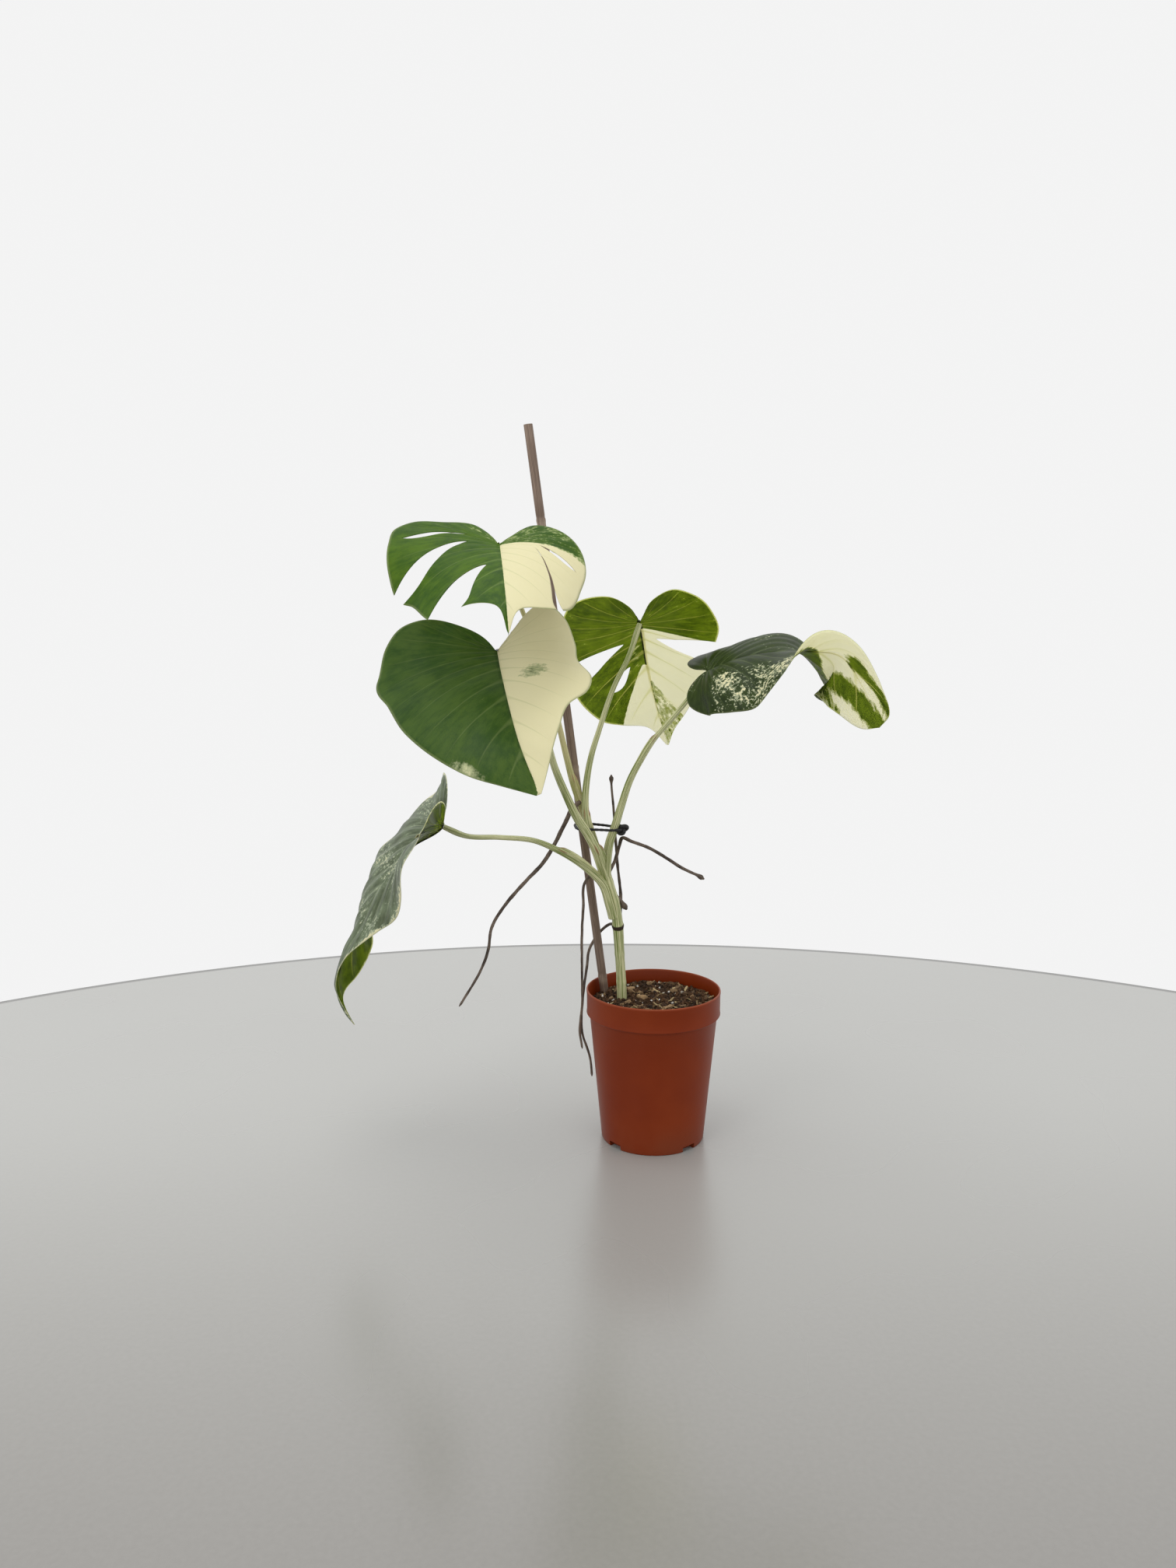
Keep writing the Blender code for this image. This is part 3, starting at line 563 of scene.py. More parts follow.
def vein_place(leaf, side, share, outward):
    """The flat place that is `outward` of the way along the side vein to `share` of the outline."""
    length = leaf_spine(leaf)[0][-1]
    outline = [*leaf[side], (0, length)]
    knots = distances(outline)
    end = through(knots / knots[-1], outline, share)
    start = length * np.clip((share - VEIN_START) / (1 - VEIN_START), 0, 1) ** VEIN_CROWDING
    middle = start + VEIN_BOW[1] * (end[:, 1] - start)
    bow = 2 * outward * (1 - outward)
    across = bow * VEIN_BOW[0] * end[:, 0] + outward**2 * end[:, 0]
    along = (1 - outward) ** 2 * start + bow * middle + outward**2 * end[:, 1]
    return across, along


def slit_edges(slit, outward):
    """The slit's two edges on the outline scale at each place along the vein."""
    inner, outer, half, first, last, mouth = slit
    x = np.clip((outward - first) / (last - first), 0, 1)
    swell = abs(np.sin(math.pi * x * (1 - mouth / 2))) ** 0.75
    middle = outer + (inner - outer) * (1 - x) ** 2.2
    return middle - half * swell, middle + half * swell


# %% [markdown]
# ## A lobe is a grid
#
# Each lobe between two slits starts as a grid primitive. Its columns run along the side veins and its
# rows lie closer together near the midrib, where the rib needs fine steps. Then the lobes are joined,
# and points that meet are merged, so a slit stays open only where its two edges part.

# %% Leaf lobes
BLADE_COLUMNS = 200
BLADE_ROWS = 44
ROW_CROWDING = 1.6


def lobe(leaf, side, low, high, first, last, outward):
    """One lobe between two slits. Near the midrib its columns are evened out to meet its neighbours."""
    columns = last - first
    piece, column, row = new_grid("lobe", columns, BLADE_ROWS)
    row = row**ROW_CROWDING
    share = np.interp(row, outward, low) * (1 - column) + np.interp(row, outward, high) * column
    even = (first + column * columns) / BLADE_COLUMNS
    share = share + (even - low[0] * (1 - column) - high[0] * column) * (1 - row) ** 4
    across, along = vein_place(leaf, side, share, row)
    across = abs(across) * (-1 if side == "left" else 1)
    set_places(piece.data, leaf_place(leaf, across, along) * CM)
    for name, values in (("share", share), ("outward", row), ("across", across), ("along", along)):
        note(piece.data, name, values)
    if side == "left":
        edit(piece, bpy.ops.mesh.flip_normals)
    return piece


def leaf_blade(name, leaf):
    outward = np.linspace(0, 1, BLADE_ROWS + 1) ** ROW_CROWDING
    pieces = []
    for side in ("left", "right"):
        slits = leaf.get(side + "_slits", [])
        foot, tip = np.zeros_like(outward), np.ones_like(outward)
        edges = [(foot, foot), *[slit_edges(slit, outward) for slit in slits], (tip, tip)]
        bounds = [0, *[round(BLADE_COLUMNS * slit[1]) for slit in slits], BLADE_COLUMNS]
        for (_, low), (high, _), first, last in zip(edges, edges[1:], bounds, bounds[1:]):
            pieces.append(lobe(leaf, side, low, high, first, last, outward))
    blade = join(name, pieces)
    edit(blade, merge_points, bpy.ops.mesh.dissolve_degenerate)
    return blade


# %% [markdown]
# ## Relief: pleats, side veins and the midrib
#
# A real blade isn't flat between its veins. It bulges a little upwards, and each side vein and the
# midrib stand out as ribs underneath, with a fine groove above. Solidify gives the blade its two
# faces first. Then each face is moved by its own relief.

# %% Leaf relief
BLADE_THICKNESS = 0.045
VEIN_COUNT = 13
VEIN_WIDTH = 0.0016
RIB_HEIGHT = 0.035
MIDRIB_WIDTH = 0.2
MIDRIB_HEIGHT = 0.16


def vein_nearness(share, outward):
    """1 on a side vein and 0 away from it. Veins crowd together at the midrib, so the width follows."""
    phase = share * VEIN_COUNT
    aside = abs(phase - np.round(phase)) / VEIN_COUNT
    reach = VEIN_WIDTH / (0.12 + outward)
    return np.exp(-((aside / reach) ** 2))


def add_relief(blade, leaf, pleat):
    """Thickens the blade and adds its pleats (both faces) and ribs (the under face)."""
    mesh = blade.data
    normals = np.zeros(len(mesh.vertices) * 3)
    mesh.vertex_normals.foreach_get("vector", normals)
    normals = normals.reshape(-1, 3)
    middle = places_of(mesh)
    apply_modifier(
        blade, "thickness", "SOLIDIFY", thickness=BLADE_THICKNESS * CM, offset=0, material_offset=1)
    places = places_of(mesh)
    share, outward, across, along = [noted(mesh, name) for name in ("share", "outward", "across", "along")]
    normals = np.concatenate([normals, normals])[: len(places)]
    middle = np.concatenate([middle, middle])[: len(places)]
    above = ((places - middle) * normals).sum(axis=1) > 0
    length = leaf_spine(leaf)[0][-1]
    taper = np.clip(1 - 0.8 * along / length, 0.15, 1)
    inside = ramp(0.02, 0.2, outward) * (1 - ramp(0.85, 1.0, outward))
    bulge = pleat * inside * (0.5 - 0.5 * np.cos(math.tau * share * VEIN_COUNT))
    vein = vein_nearness(share, outward) * ramp(0.0, 0.04, outward) * (1 - ramp(0.75, 0.97, outward))
    aside = across / (MIDRIB_WIDTH * taper)
    midrib = np.sqrt(np.clip(1 - aside**2, 0, 1)) * (along > -0.3)
    under = RIB_HEIGHT * vein * (0.4 + 0.6 * taper) + MIDRIB_HEIGHT * taper * midrib
    over = -0.25 * RIB_HEIGHT * vein - 0.03 * midrib
    edge = 1 - 0.5 * ramp(0.97, 1.0, outward)
    rise = bulge + np.where(above, over, -under)
    thin = (places - middle) * edge[:, None]
    set_places(mesh, middle + thin + normals * rise[:, None] * CM)


# %% [markdown]
# ## Variegation
#
# This plant is half green and half cream, in sectors that follow the side veins, with marbling where
# the two meet. Each leaf gets one number per point, `cream`: 0 is green, 1 is cream, and values near a
# half are marbled. The material later breaks the edge up with noise stretched along the veins.


# %% Cream sectors
def cream_upper_left(x, y, share, outward):
    lower_lobe = 1 - ramp(0.4, 0.45, share)
    sector = ramp(-0.02, 0.12, x) * (1 - 0.51 * lower_lobe - 0.12 * ramp(0.55, 0.45, share))
    flecked_rim = 0.35 * ramp(0.72, 0.95, outward) * hump(0.47, 0.06, share)
    grey_foot = 0.34 * (x < 0) * (1 - ramp(0.14, 0.3, share))
    return np.maximum(sector * (1 - flecked_rim), grey_foot)


def cream_left_middle(x, y, share, outward):
    sector = ramp(-0.02, 0.1, x)
    strokes = 0.54 * hump(2.6, 3.0, x) * hump(4.0, 2.2, y)
    worn_edge = 0.47 * ramp(0.76, 0.94, outward) * hump(0.83, 0.08, share) * (x < 0)
    flecks = 0.2 + 0.14 * hump(-2.2, 1.6, x) * hump(5.5, 4.0, y)
    return np.maximum(sector * (1 - strokes), np.maximum(worn_edge, flecks))


def cream_centre(x, y, share, outward):
    left = ramp(0.5, 0.515, share) * (x <= 0)
    strip = ramp(0.0, 0.35, x + 0.45 * (y - 5.6)) * ramp(5.8, 6.6, y) * (x < 0)
    left = left * (1 - 0.55 * strip)
    right = ramp(-0.25, 0.05, 0.2 + 0.5 * (y - 4.3) - x) * ramp(4.2, 5.0, y) * (x > 0)
    marbled = 0.42 * hump(0.9, 1.1, x) * hump(3.4, 2.6, y) + 0.3 * hump(-2.4, 1.6, x) * hump(1.0, 1.0, y)
    return np.maximum(np.maximum(left, right), np.maximum(0.27, marbled))


def cream_right(x, y, share, outward):
    speckled = 0.16 + 0.2 * ramp(0.6, 2.0, y) * ramp(-1.6, -3.4, x)
    near_end = ramp(9.6, 10.4, y)
    band = hump(0, 0.9, x - 1.7 + 0.36 * (y - 13.9)) * ramp(10.0, 12.5, y)
    left_rim = hump(0, 0.42, x + 0.45 + 0.2 * (y - 13)) * ramp(12.6, 13.6, y)
    patch = hump(-0.4, 0.6, x) * hump(13.1, 0.9, y)
    streaked = ramp(2.4, 3.2, x)
    end = 0.7 - 0.6 * band - 0.5 * left_rim - 0.42 * patch - 0.28 * streaked
    return speckled * (1 - near_end) + near_end * np.clip(end, 0.1, 0.8)


def cream_lower_left(x, y, share, outward):
    mottled = 0.29 + 0.06 * np.sin(1.3 * y + 0.8) + 0.04 * hump(7.0, 3.0, y)
    pale_rim = 0.3 * ramp(0.94, 0.99, outward)
    bright_end = -0.2 * ramp(11.0, 13.0, y) * (x < 0)
    return mottled + pale_rim + bright_end


# %% [markdown]
# ## The blade's colours
#
# One node group paints both faces of every leaf. It reads the numbers kept on the mesh and gives back
# the colour, the roughness and a fine height. A face of the leaf differs only in the greens it is given
# and in how strong its veins, its marbling along the veins and its fine grain are.

# %% Leaf colour group
CREAM_COLOUR = (214, 207, 164)
leaf_paint, given = new_group("leaf_paint", {
    NUMBER: ("Share", "Outward", "Cream Level", "Vein Strength", "Marbling", "Grain"),
    DIRECTION: ("Place",),
    COLOUR: ("Dark Green", "Light Green", "Pale Green", "Cream", "Vein"),
})
share, outward = given["Share"], given["Outward"]
streaks = patches(combine(share * 62.0, outward * 5.0), 1.0, 6.0, 0.62)
flecks = patches(given["Place"], 420.0, 3.0, 0.6)
mottle = patches(given["Place"], 38.0, 4.0, 0.6)
marbled = (streaks - 0.5) * given["Marbling"]
grainy = (flecks + mottle * 0.8 - 0.9) * given["Grain"]
level = given["Cream Level"] + marbled + grainy
green_tone = streaks * 0.5 + mottle * 0.5
colour = blend(between(green_tone, 0.36, 0.64), given["Dark Green"], given["Light Green"])
colour = blend(between(level, 0.36, 0.47), colour, given["Pale Green"])
colour = blend(between(level, 0.46, 0.54), colour, given["Cream"])

phase = share * float(VEIN_COUNT)
aside = calculate("ABSOLUTE", phase - calculate("ROUND", phase))
vein_width = calculate("DIVIDE", 0.018, outward + 0.1)
vein_line = between(aside / vein_width, 0.25, 1.3, 1.0, 0.0)
fade = between(outward, 0.6, 0.98, 1.0, 0.1)
colour = blend(vein_line * fade * given["Vein Strength"], colour, given["Vein"])
margin = between(outward, 0.975, 0.995) * 0.5
colour = blend(margin, colour, given["Vein"])
fine_veins = patches(combine(share * 420.0, outward * 26.0), 1.0, 2.0)
end_group(leaf_paint, colour, between(mottle, 0.3, 0.7, 0.36, 0.5), fine_veins * 0.5 + flecks * 0.25)


def leaf_material(name, dark, light, pale, vein, vein_strength, marbling, grain, gloss, translucency=0.1):
    material, tree = new_material(
        name, Specular_IOR_Level=gloss, Subsurface_Weight=translucency, Subsurface_Scale=0.005,
        Subsurface_Radius=(1.0, 1.0, 0.7),
    )
    values = {
        "Share": kept_number(tree, "share"),
        "Outward": kept_number(tree, "outward"),
        "Cream Level": kept_number(tree, "cream"),
        "Place": object_place(tree),
        "Dark Green": dark,
        "Light Green": light,
        "Pale Green": pale,
        "Cream": CREAM_COLOUR,
        "Vein": vein,
        "Vein Strength": vein_strength,
        "Marbling": marbling,
        "Grain": grain,
    }
    paint_with_group(tree, leaf_paint, values, 0.0004, 0.5)
    return material


# %% [markdown]
# ## Making the leaves
#
# Each leaf now goes through the same steps: two finishes, lobes, relief and cream sectors. A finish is
# the dark, light, pale and vein colours, then the strength of veins, marbling and grain, the gloss and
# the translucency. The lower left leaf hangs and is more deeply pleated.

# %% Leaves
upper_face = leaf_material(
    "leaf_upper_face", (34, 60, 14), (56, 82, 26), (158, 164, 122), (124, 142, 84), 0.2, 0.3, 0.16, 0.12)
bright_face = leaf_material(
    "leaf_bright_upper_face", (38, 70, 2), (66, 98, 14), (138, 152, 96), (136, 154, 88), 0.22, 0.5, 0.3, 0.12)
speckled_face = leaf_material(
    "leaf_speckled_upper_face", (26, 38, 10), (46, 60, 22), (150, 158, 128), (118, 132, 88),
    0.25, 0.3, 1.1, 0.16)
# The hanging leaf's upper face is given lighter, greyer greens and veins: a painted sheen of its waxy face
# seen at a grazing angle.
sheen_grey_face = leaf_material(
    "leaf_grey_upper_face", (54, 66, 40), (106, 120, 92), (152, 162, 136), (160, 170, 138),
    0.35, 0.5, 0.7, 0.3)
under_face = leaf_material(
    "leaf_under_face", (18, 26, 2), (36, 45, 5), (104, 114, 62), (140, 152, 70), 0.28, 0.6, 0.2, 0.1, 0.9)
# Each leaf's upper finish, cream sectors and pleat height
LEAF_LOOKS = {
    1: (bright_face, cream_upper_left, 0.03),
    2: (upper_face, cream_left_middle, 0.035),
    3: (upper_face, cream_centre, 0.035),
    4: (speckled_face, cream_right, 0.05),
    5: (sheen_grey_face, cream_lower_left, 0.17),
}
for number, leaf in LEAVES.items():
    face, cream, pleat = LEAF_LOOKS[number]
    blade = leaf_blade("blade_%d" % number, leaf)
    for material in (face, under_face):
        blade.data.materials.append(material)
    add_relief(blade, leaf, pleat)
    values = [noted(blade.data, name) for name in ("across", "along", "share", "outward")]
    note(blade.data, "cream", cream(*values))
    pick(blade)
    bpy.ops.object.shade_smooth()
    finish_piece(blade, ["leaf_%d" % number])

# %% [markdown]
# ## A grown bar
#
# Stalks, stem, roots and the cane are all long round things that follow a line. Each starts as a grid
# whose columns go round and whose rows go along. The grid is rolled into a tube, with a profile that
# may change with the angle and the place, and its two ends are closed. The angle and the place along
# are kept on the mesh, so that stripes and rings can follow them.


# %% Grown bars
def carried_frame(points, forward, up):
    """A sideways and an upward direction at each point that don't twist along the line."""
    ups = []
    current = np.array(up, float)
    for direction in forward:
        current = current - direction * (current @ direction)
        current = current / np.linalg.norm(current)
        ups.append(current)
    ups = np.array(ups)
    return np.cross(forward, ups), ups


def grown_bar(name, route, radii, profile=None, around=32, spacing=0.2, up=(0, -0.4, 1)):
    """A closed bar in centimetres. profile(angle, along, length) is a share of the radius."""
    knots = distances(route)
    length = knots[-1]
    rows = max(4, math.ceil(length / spacing))
    bar, turn_share, row_share = new_grid(name, around, rows)
    angle = turn_share * math.tau - math.pi
    along = row_share * length
    row_places = np.linspace(0, length, rows + 1)
    points = through(knots, route, row_places)
    forward = unit(np.gradient(points, axis=0))
    sideways, upward = carried_frame(points, forward, up)
    row = np.round(row_share * rows).astype(int)
    radius = np.interp(along, knots, radii)
    if profile:
        radius = radius * profile(angle, along, length)
    aside = sideways[row] * np.sin(angle)[:, None] + upward[row] * np.cos(angle)[:, None]
    set_places(bar.data, (points[row] + aside * radius[:, None]) * CM)
    note(bar.data, "around", angle / math.tau)
    note(bar.data, "along", along)
    edit(bar, merge_points)
    close_ends(bar)
    edit(bar, face_outwards)
    return bar


def close_ends(bar):
    """Draws each open end in and fills it, so that it looks rounded off."""
    pick(bar)
    bpy.ops.object.mode_set(mode="EDIT")
    bpy.ops.mesh.select_mode(type="EDGE")
    bpy.ops.mesh.select_all(action="DESELECT")
    bpy.ops.mesh.select_non_manifold(extend=False)
    bpy.ops.mesh.edge_face_add()
    bpy.ops.mesh.select_mode(type="FACE")
    bpy.ops.object.mode_set(mode="OBJECT")
    for face in bar.data.polygons:
        face.select = len(face.vertices) > 4
    bpy.ops.object.mode_set(mode="EDIT")
    bpy.ops.mesh.inset(thickness=0.0004, use_individual=True)
    bpy.ops.mesh.select_mode(type="VERT")
    bpy.ops.object.mode_set(mode="OBJECT")


# %% [markdown]
# ## Skin of the green parts
#
# Stem and stalks have a smooth, pale skin with darker and lighter lines that run lengthwise. The lighter
# lines are partly the skin's own pale stripes and partly a painted highlight along the round stalks. One
# group makes those lines from the angle and the place along, and mixes in brown where `scar` says that a
# ring, a cut or a dry edge is.

# %% Skin group
stalk_skin, given = new_group("stalk_skin", {
    NUMBER: ("Around", "Along", "Scar"),
    COLOUR: ("Light", "Dark", "Scar Colour"),
})
rolled = round_place(given["Around"], given["Along"], 2.6, 0.11)
lines = patches(rolled, 1.6, 4.0, 0.6)
dashes = patches(rolled, 7.0, 3.0, 0.6)
both = lines * 0.7 + dashes * 0.3
# The light stripe colour is partly the skin's own stripes and partly a painted highlight.
stripes_with_highlights = blend(between(both, 0.38, 0.6), given["Dark"], given["Light"])
scarred = given["Scar"] + (dashes - 0.5) * 0.8
brown_share = between(scarred, 0.35, 0.65) * between(given["Scar"], 0.02, 0.2)
skin = blend(brown_share, stripes_with_highlights, given["Scar Colour"])
end_group(stalk_skin, skin, between(brown_share, 0.0, 1.0, 0.38, 0.75), both)


def skin_material(name, light, dark, scar):
    material, tree = new_material(name, Specular_IOR_Level=0.25)
    values = {name.title(): kept_number(tree, name) for name in ("around", "along", "scar")}
    values.update({"Light": light, "Dark": dark, "Scar Colour": scar})
    paint_with_group(tree, stalk_skin, values, 0.0005, 0.6)
    return material


# The very pale light colours are partly real stripes and partly a painted highlight along the stalks.
green_skin = skin_material("pale_green_skin", (224, 222, 176), (106, 124, 50), (160, 130, 96))
cream_skin = skin_material("cream_green_skin", (224, 214, 164), (160, 162, 94), (186, 150, 122))
stem_skin = skin_material("stem_skin", (220, 218, 172), (106, 124, 52), (52, 40, 30))

# %% [markdown]
# ## Leaf stalks
#
# A monstera's stalk is grooved on its upper side. Its lower part is a sheath whose two thin wings once
# wrapped the next leaf. Where the wings end, they leave a ragged, dry edge. Just below the blade the
# stalk has a thicker knee, which turns the leaf to the light.

# %% Stalk routes
# Each stalk has its route, its radii at the foot and at the leaf, where its wings end along it and how
# high they stand, and the way its groove faces.
WING_ANGLE = 0.72
STALKS = {
    5: ([(-3.6, 0.0, 7.6), (-3.95, -0.3, 8.9), (-4.5, -0.5, 10.6), (-5.8, -1.0, 12.1), (-8.3, -1.8, 13.9),
         (-10.4, -2.3, 14.9), (-13.4, -2.8, 15.3), (-16.4, -3.0, 15.5)],
        (0.42, 0.2), (8.6, 0.32), (0.3, -0.3, 1)),
    2: ([(-4.3, 0.0, 11.2), (-4.7, -0.5, 12.4), (-5.2, -0.9, 13.9), (-5.9, -1.2, 15.3), (-6.7, -1.5, 16.6),
         (-7.8, -2.0, 19.0), (-8.7, -2.8, 21.4), (-9.3, -3.8, 23.9), (-10.1, -5.2, 26.9),
         (-11.4, -7.0, 29.6)],
        (0.42, 0.24), (3.4, 0.3), (1, -0.8, 0.4)),
    3: ([(-4.4, 0.35, 11.6), (-4.8, 0.35, 13.0), (-5.4, 0.1, 14.5), (-5.9, -0.1, 15.9), (-6.1, 0.1, 17.9),
         (-5.95, 0.4, 19.9), (-5.55, 0.7, 22.0), (-4.9, 1.0, 24.1), (-3.5, 1.5, 28.1), (-2.35, 2.0, 30.4)],
        (0.36, 0.2), (6.0, 0.22), (0.4, -1, 0.2)),
    1: ([(-4.4, 0.4, 11.4), (-4.95, 0.9, 12.8), (-5.6, 0.85, 15.0), (-6.5, 0.7, 17.6), (-7.1, 0.3, 19.4),
         (-7.7, -0.4, 21.9), (-8.3, -1.2, 24.6), (-9.0, -2.4, 27.6), (-9.8, -3.6, 30.6), (-10.9, -5.2, 33.7),
         (-12.1, -7.4, 37.0)],
        (0.36, 0.18), (9.6, 0.26), (1, -0.6, 0.3)),
    4: ([(-4.2, 0.1, 11.2), (-4.15, -0.25, 12.8), (-3.9, -0.35, 14.5), (-3.5, -0.4, 15.7),
         (-2.9, -0.3, 17.7), (-2.1, -0.1, 20.0), (-1.2, -0.1, 21.7), (0.0, -0.1, 23.6), (1.2, -0.1, 25.0),
         (2.7, -0.1, 26.8)],
        (0.36, 0.2), (13.6, 0.3), (-0.8, -0.8, 0.5)),
}


# %% Leaf stalks
def stalk_profile(wing_end, wing_height):
    def profile(angle, along, length):
        groove = 1 - 0.2 * hump(0, 0.42, angle)
        knee = 1 + 0.22 * hump(length - 1.0, 0.8, along)
        reach = wing_height * (0.35 + 0.65 * hump(wing_end - 1.2, 1.8, along))
        reach = reach * (1 - ramp(wing_end - 0.5, wing_end + 0.15, along)) * ramp(0.0, 1.2, along)
        wings = 2.4 * reach * (hump(WING_ANGLE, 0.13, angle) + hump(-WING_ANGLE, 0.13, angle))
        lines = 1 + 0.012 * np.cos(11 * angle)
        return 1.08 * (groove + wings) * knee * lines
    return profile


def joint_under(leaf, radius):
    """Where the stalk's end meets the blade from below."""
    _, places, upward, _ = leaf_spine(leaf)
    return tuple(places[1] - upward[1] * radius * 0.8)


for number, (route, (foot_radius, leaf_radius), (wing_end, wing_height), groove_side) in STALKS.items():
    route = [*above_soil(route), joint_under(LEAVES[number], leaf_radius)]
    part_way = distances(route) / distances(route)[-1]
    radii = foot_radius + (leaf_radius - foot_radius) * np.minimum(1, 1.6 * part_way)
    profile = stalk_profile(wing_end, wing_height)
    stalk = grown_bar("stalk_%d" % number, route, radii, profile, 64, 0.14, groove_side)
    along, around = noted(stalk.data, "along"), noted(stalk.data, "around") * math.tau
    note(stalk.data, "scar", 0.7 * hump(wing_end - 0.3, 0.7, along) * hump(WING_ANGLE, 0.3, abs(around)))
    skin = cream_skin if number == 1 else green_skin
    finish_piece(stalk, ["petiole_%d" % number], [skin], 50)

# %% [markdown]
# ## Stem
#
# The stem is short. Each leaf and root left a ring on it, slightly swollen and brown, and older rings
# near the foot are darker. A ring is its place along the stem, its height and how brown it is.

# %% Stem
STEM_RADIUS = 0.42
STEM_ROUTE = [(-2.7, 0.3, -3.0), (-2.8, 0.3, 0.0), (-3.0, 0.3, 3.9), (-3.2, 0.2, 6.8), (-3.5, 0.1, 8.9),
              (-4.0, 0.1, 10.5), (-4.4, 0.2, 12.1)]
STEM_SWELL = [0.9, 1.05, 1.0, 1.15, 1.0, 1.1, 1.0]
STEM_RINGS = [(4.6, 0.05, 0.15), (7.2, 0.06, 0.2), (9.8, 0.14, 0.9), (12.1, 0.08, 0.2), (13.9, 0.06, 0.15)]


def stem_profile(angle, along, length):
    swell = 1 + 0.02 * np.cos(5 * angle + 0.4 * along) + 0.02 * np.cos(3 * angle - 0.9 * along)
    for place, height, _ in STEM_RINGS:
        swell = swell + height * hump(place, 0.22, along + 0.12 * np.cos(angle))
    return swell


radii = [STEM_RADIUS * swell for swell in STEM_SWELL]
stem = grown_bar("stem", above_soil(STEM_ROUTE), radii, stem_profile, 48, 0.08)
along, around = noted(stem.data, "along"), noted(stem.data, "around") * math.tau
scar = sum(brown * hump(place, 0.24, along + 0.18 * np.cos(around)) for place, _, brown in STEM_RINGS)
note(stem.data, "scar", scar)
finish_piece(stem, ["main_stem"], [stem_skin], 50)

# %% [markdown]
# ## Aerial roots
#
# The roots are stiff, dark and dry. They taper, kink a little and have small knobs, so their radius
# and their line are disturbed with a smooth noise. Some end in a rounded tip and some in a knob.

# %% Root routes
# Each root has its route, its radii at the start and the tip, how much its tip swells, and, where it
# hangs outside the pot, the rest of its way as (angle round the pot in radians, height above the rim,
# clearance from the pot).
ROOT_OUTSIDE = 0.4
ROOT_SEED_STEP = 3.7
ROOT_WANDER = 0.06
ROOTS = {
    "aerial_root_long": (
        [(-6.55, 0.4, 17.9), (-7.1, 0.1, 17.5), (-7.8, -0.1, 16.2), (-8.8, -0.4, 14.3), (-9.6, -0.8, 12.9),
         (-11.7, -1.7, 10.8), (-13.3, -2.3, 8.9), (-14.2, -2.7, 7.3), (-14.5, -3.0, 5.5), (-15.2, -3.2, 3.5),
         (-16.1, -3.4, 2.0), (-17.0, -3.6, 0.6)], (0.2, 0.1), 1.0, []),
    "aerial_root_right": (
        [(-4.1, 0.5, 11.4), (-3.5, 1.0, 12.4), (-3.1, 0.95, 13.8), (-2.8, 0.45, 14.7), (-2.0, 0.0, 14.4),
         (-0.6, -0.5, 14.0), (0.6, -1.0, 13.4), (2.3, -1.6, 12.4), (3.9, -2.0, 11.7), (4.2, -2.1, 11.5)],
        (0.16, 0.13), 1.7, []),
    "aerial_root_upright": (
        [(-3.1, 0.4, 6.9), (-2.9, 1.2, 8.4), (-3.2, 1.65, 12.2), (-3.4, 1.5, 14.4), (-3.6, 1.2, 17.3),
         (-3.8, 1.1, 19.6), (-3.8, 1.1, 20.2)], (0.15, 0.09), 2.1, []),
    "aerial_root_stub": ([(-3.4, 0.3, 9.5), (-2.9, 0.5, 8.9), (-2.4, 0.3, 8.2)], (0.2, 0.16), 1.6, []),
    "aerial_root_hanging": (
        [(-4.5, 0.3, 11.6), (-5.2, 0.5, 11.5), (-6.0, 0.4, 10.9), (-6.3, 0.0, 8.5), (-6.4, -0.3, 6.1)],
        (0.13, 0.1), 1.0, [(-0.08, 1.5, 0), (-0.1, -1.2, 0), (-0.1, -4.0, 0.7), (-0.1, -5.4, 0.6)]),
    "aerial_root_over_rim": (
        [(-3.3, 0.3, 6.7), (-3.6, 1.4, 6.6), (-4.1, 2.6, 6.2), (-4.8, 3.4, 5.3), (-5.7, 3.1, 3.9)],
        (0.14, 0.1), 1.0,
        [(0.36, 1.2, 0), (0.16, -1.2, 0), (0.1, -4.2, 0.5), (0.08, -6.8, 0), (0.08, -8.4, 0)]),
}

# %% Root finish
root_bark, tree = new_material("dry_root_bark", Specular_IOR_Level=0.3)
place = object_place(tree)
cracks = patches(place, 900.0, 3.0, 0.6)
bark = blend(between(patches(place, 90.0, 4.0, 0.6), 0.35, 0.65), (62, 52, 46), (116, 102, 90))
bark = blend(between(cracks, 0.5, 0.75, 0.0, 0.4), bark, (150, 138, 120))
paint(tree, bark, between(cracks, 0.3, 0.7, 0.6, 0.85), cracks, 0.0006, 0.8)


# %% Aerial roots
def beside_pot(turn, above_rim, clearance):
    """A place beside the pot's left side, clear of the rim band above and of the wall below it."""
    height = POT_HEIGHT + above_rim
    side = RIM_RADIUS if height > BAND_FOOT - 1 else outer_wall(height)
    radius = side + ROOT_OUTSIDE + clearance
    return (-radius * math.cos(turn), radius * math.sin(turn), height)


def root_profile(seed, tip):
    def profile(angle, along, length):
        spots = [Vector((place * 1.6, seed, 0.6 * math.cos(turn))) for place, turn in zip(along, angle)]
        bumps = np.array([noise.noise(spot) for spot in spots])
        knob = (tip - 1) * hump(length - 0.35, 0.28, along)
        point = 1 - 0.55 * ramp(length - 0.25, length, along)
        return (1 + 0.2 * bumps + knob) * point
    return profile


def wander(route, seed, size):
    """Moves the inner points of a route a little, as growth does."""
    moved = [route[0]]
    for index, point in enumerate(route[1:-1]):
        shift = noise.noise_vector(Vector((index * 1.7, seed, 0.0))) * size
        moved.append(tuple(np.array(point) + np.array(shift)))
    return [*moved, route[-1]]


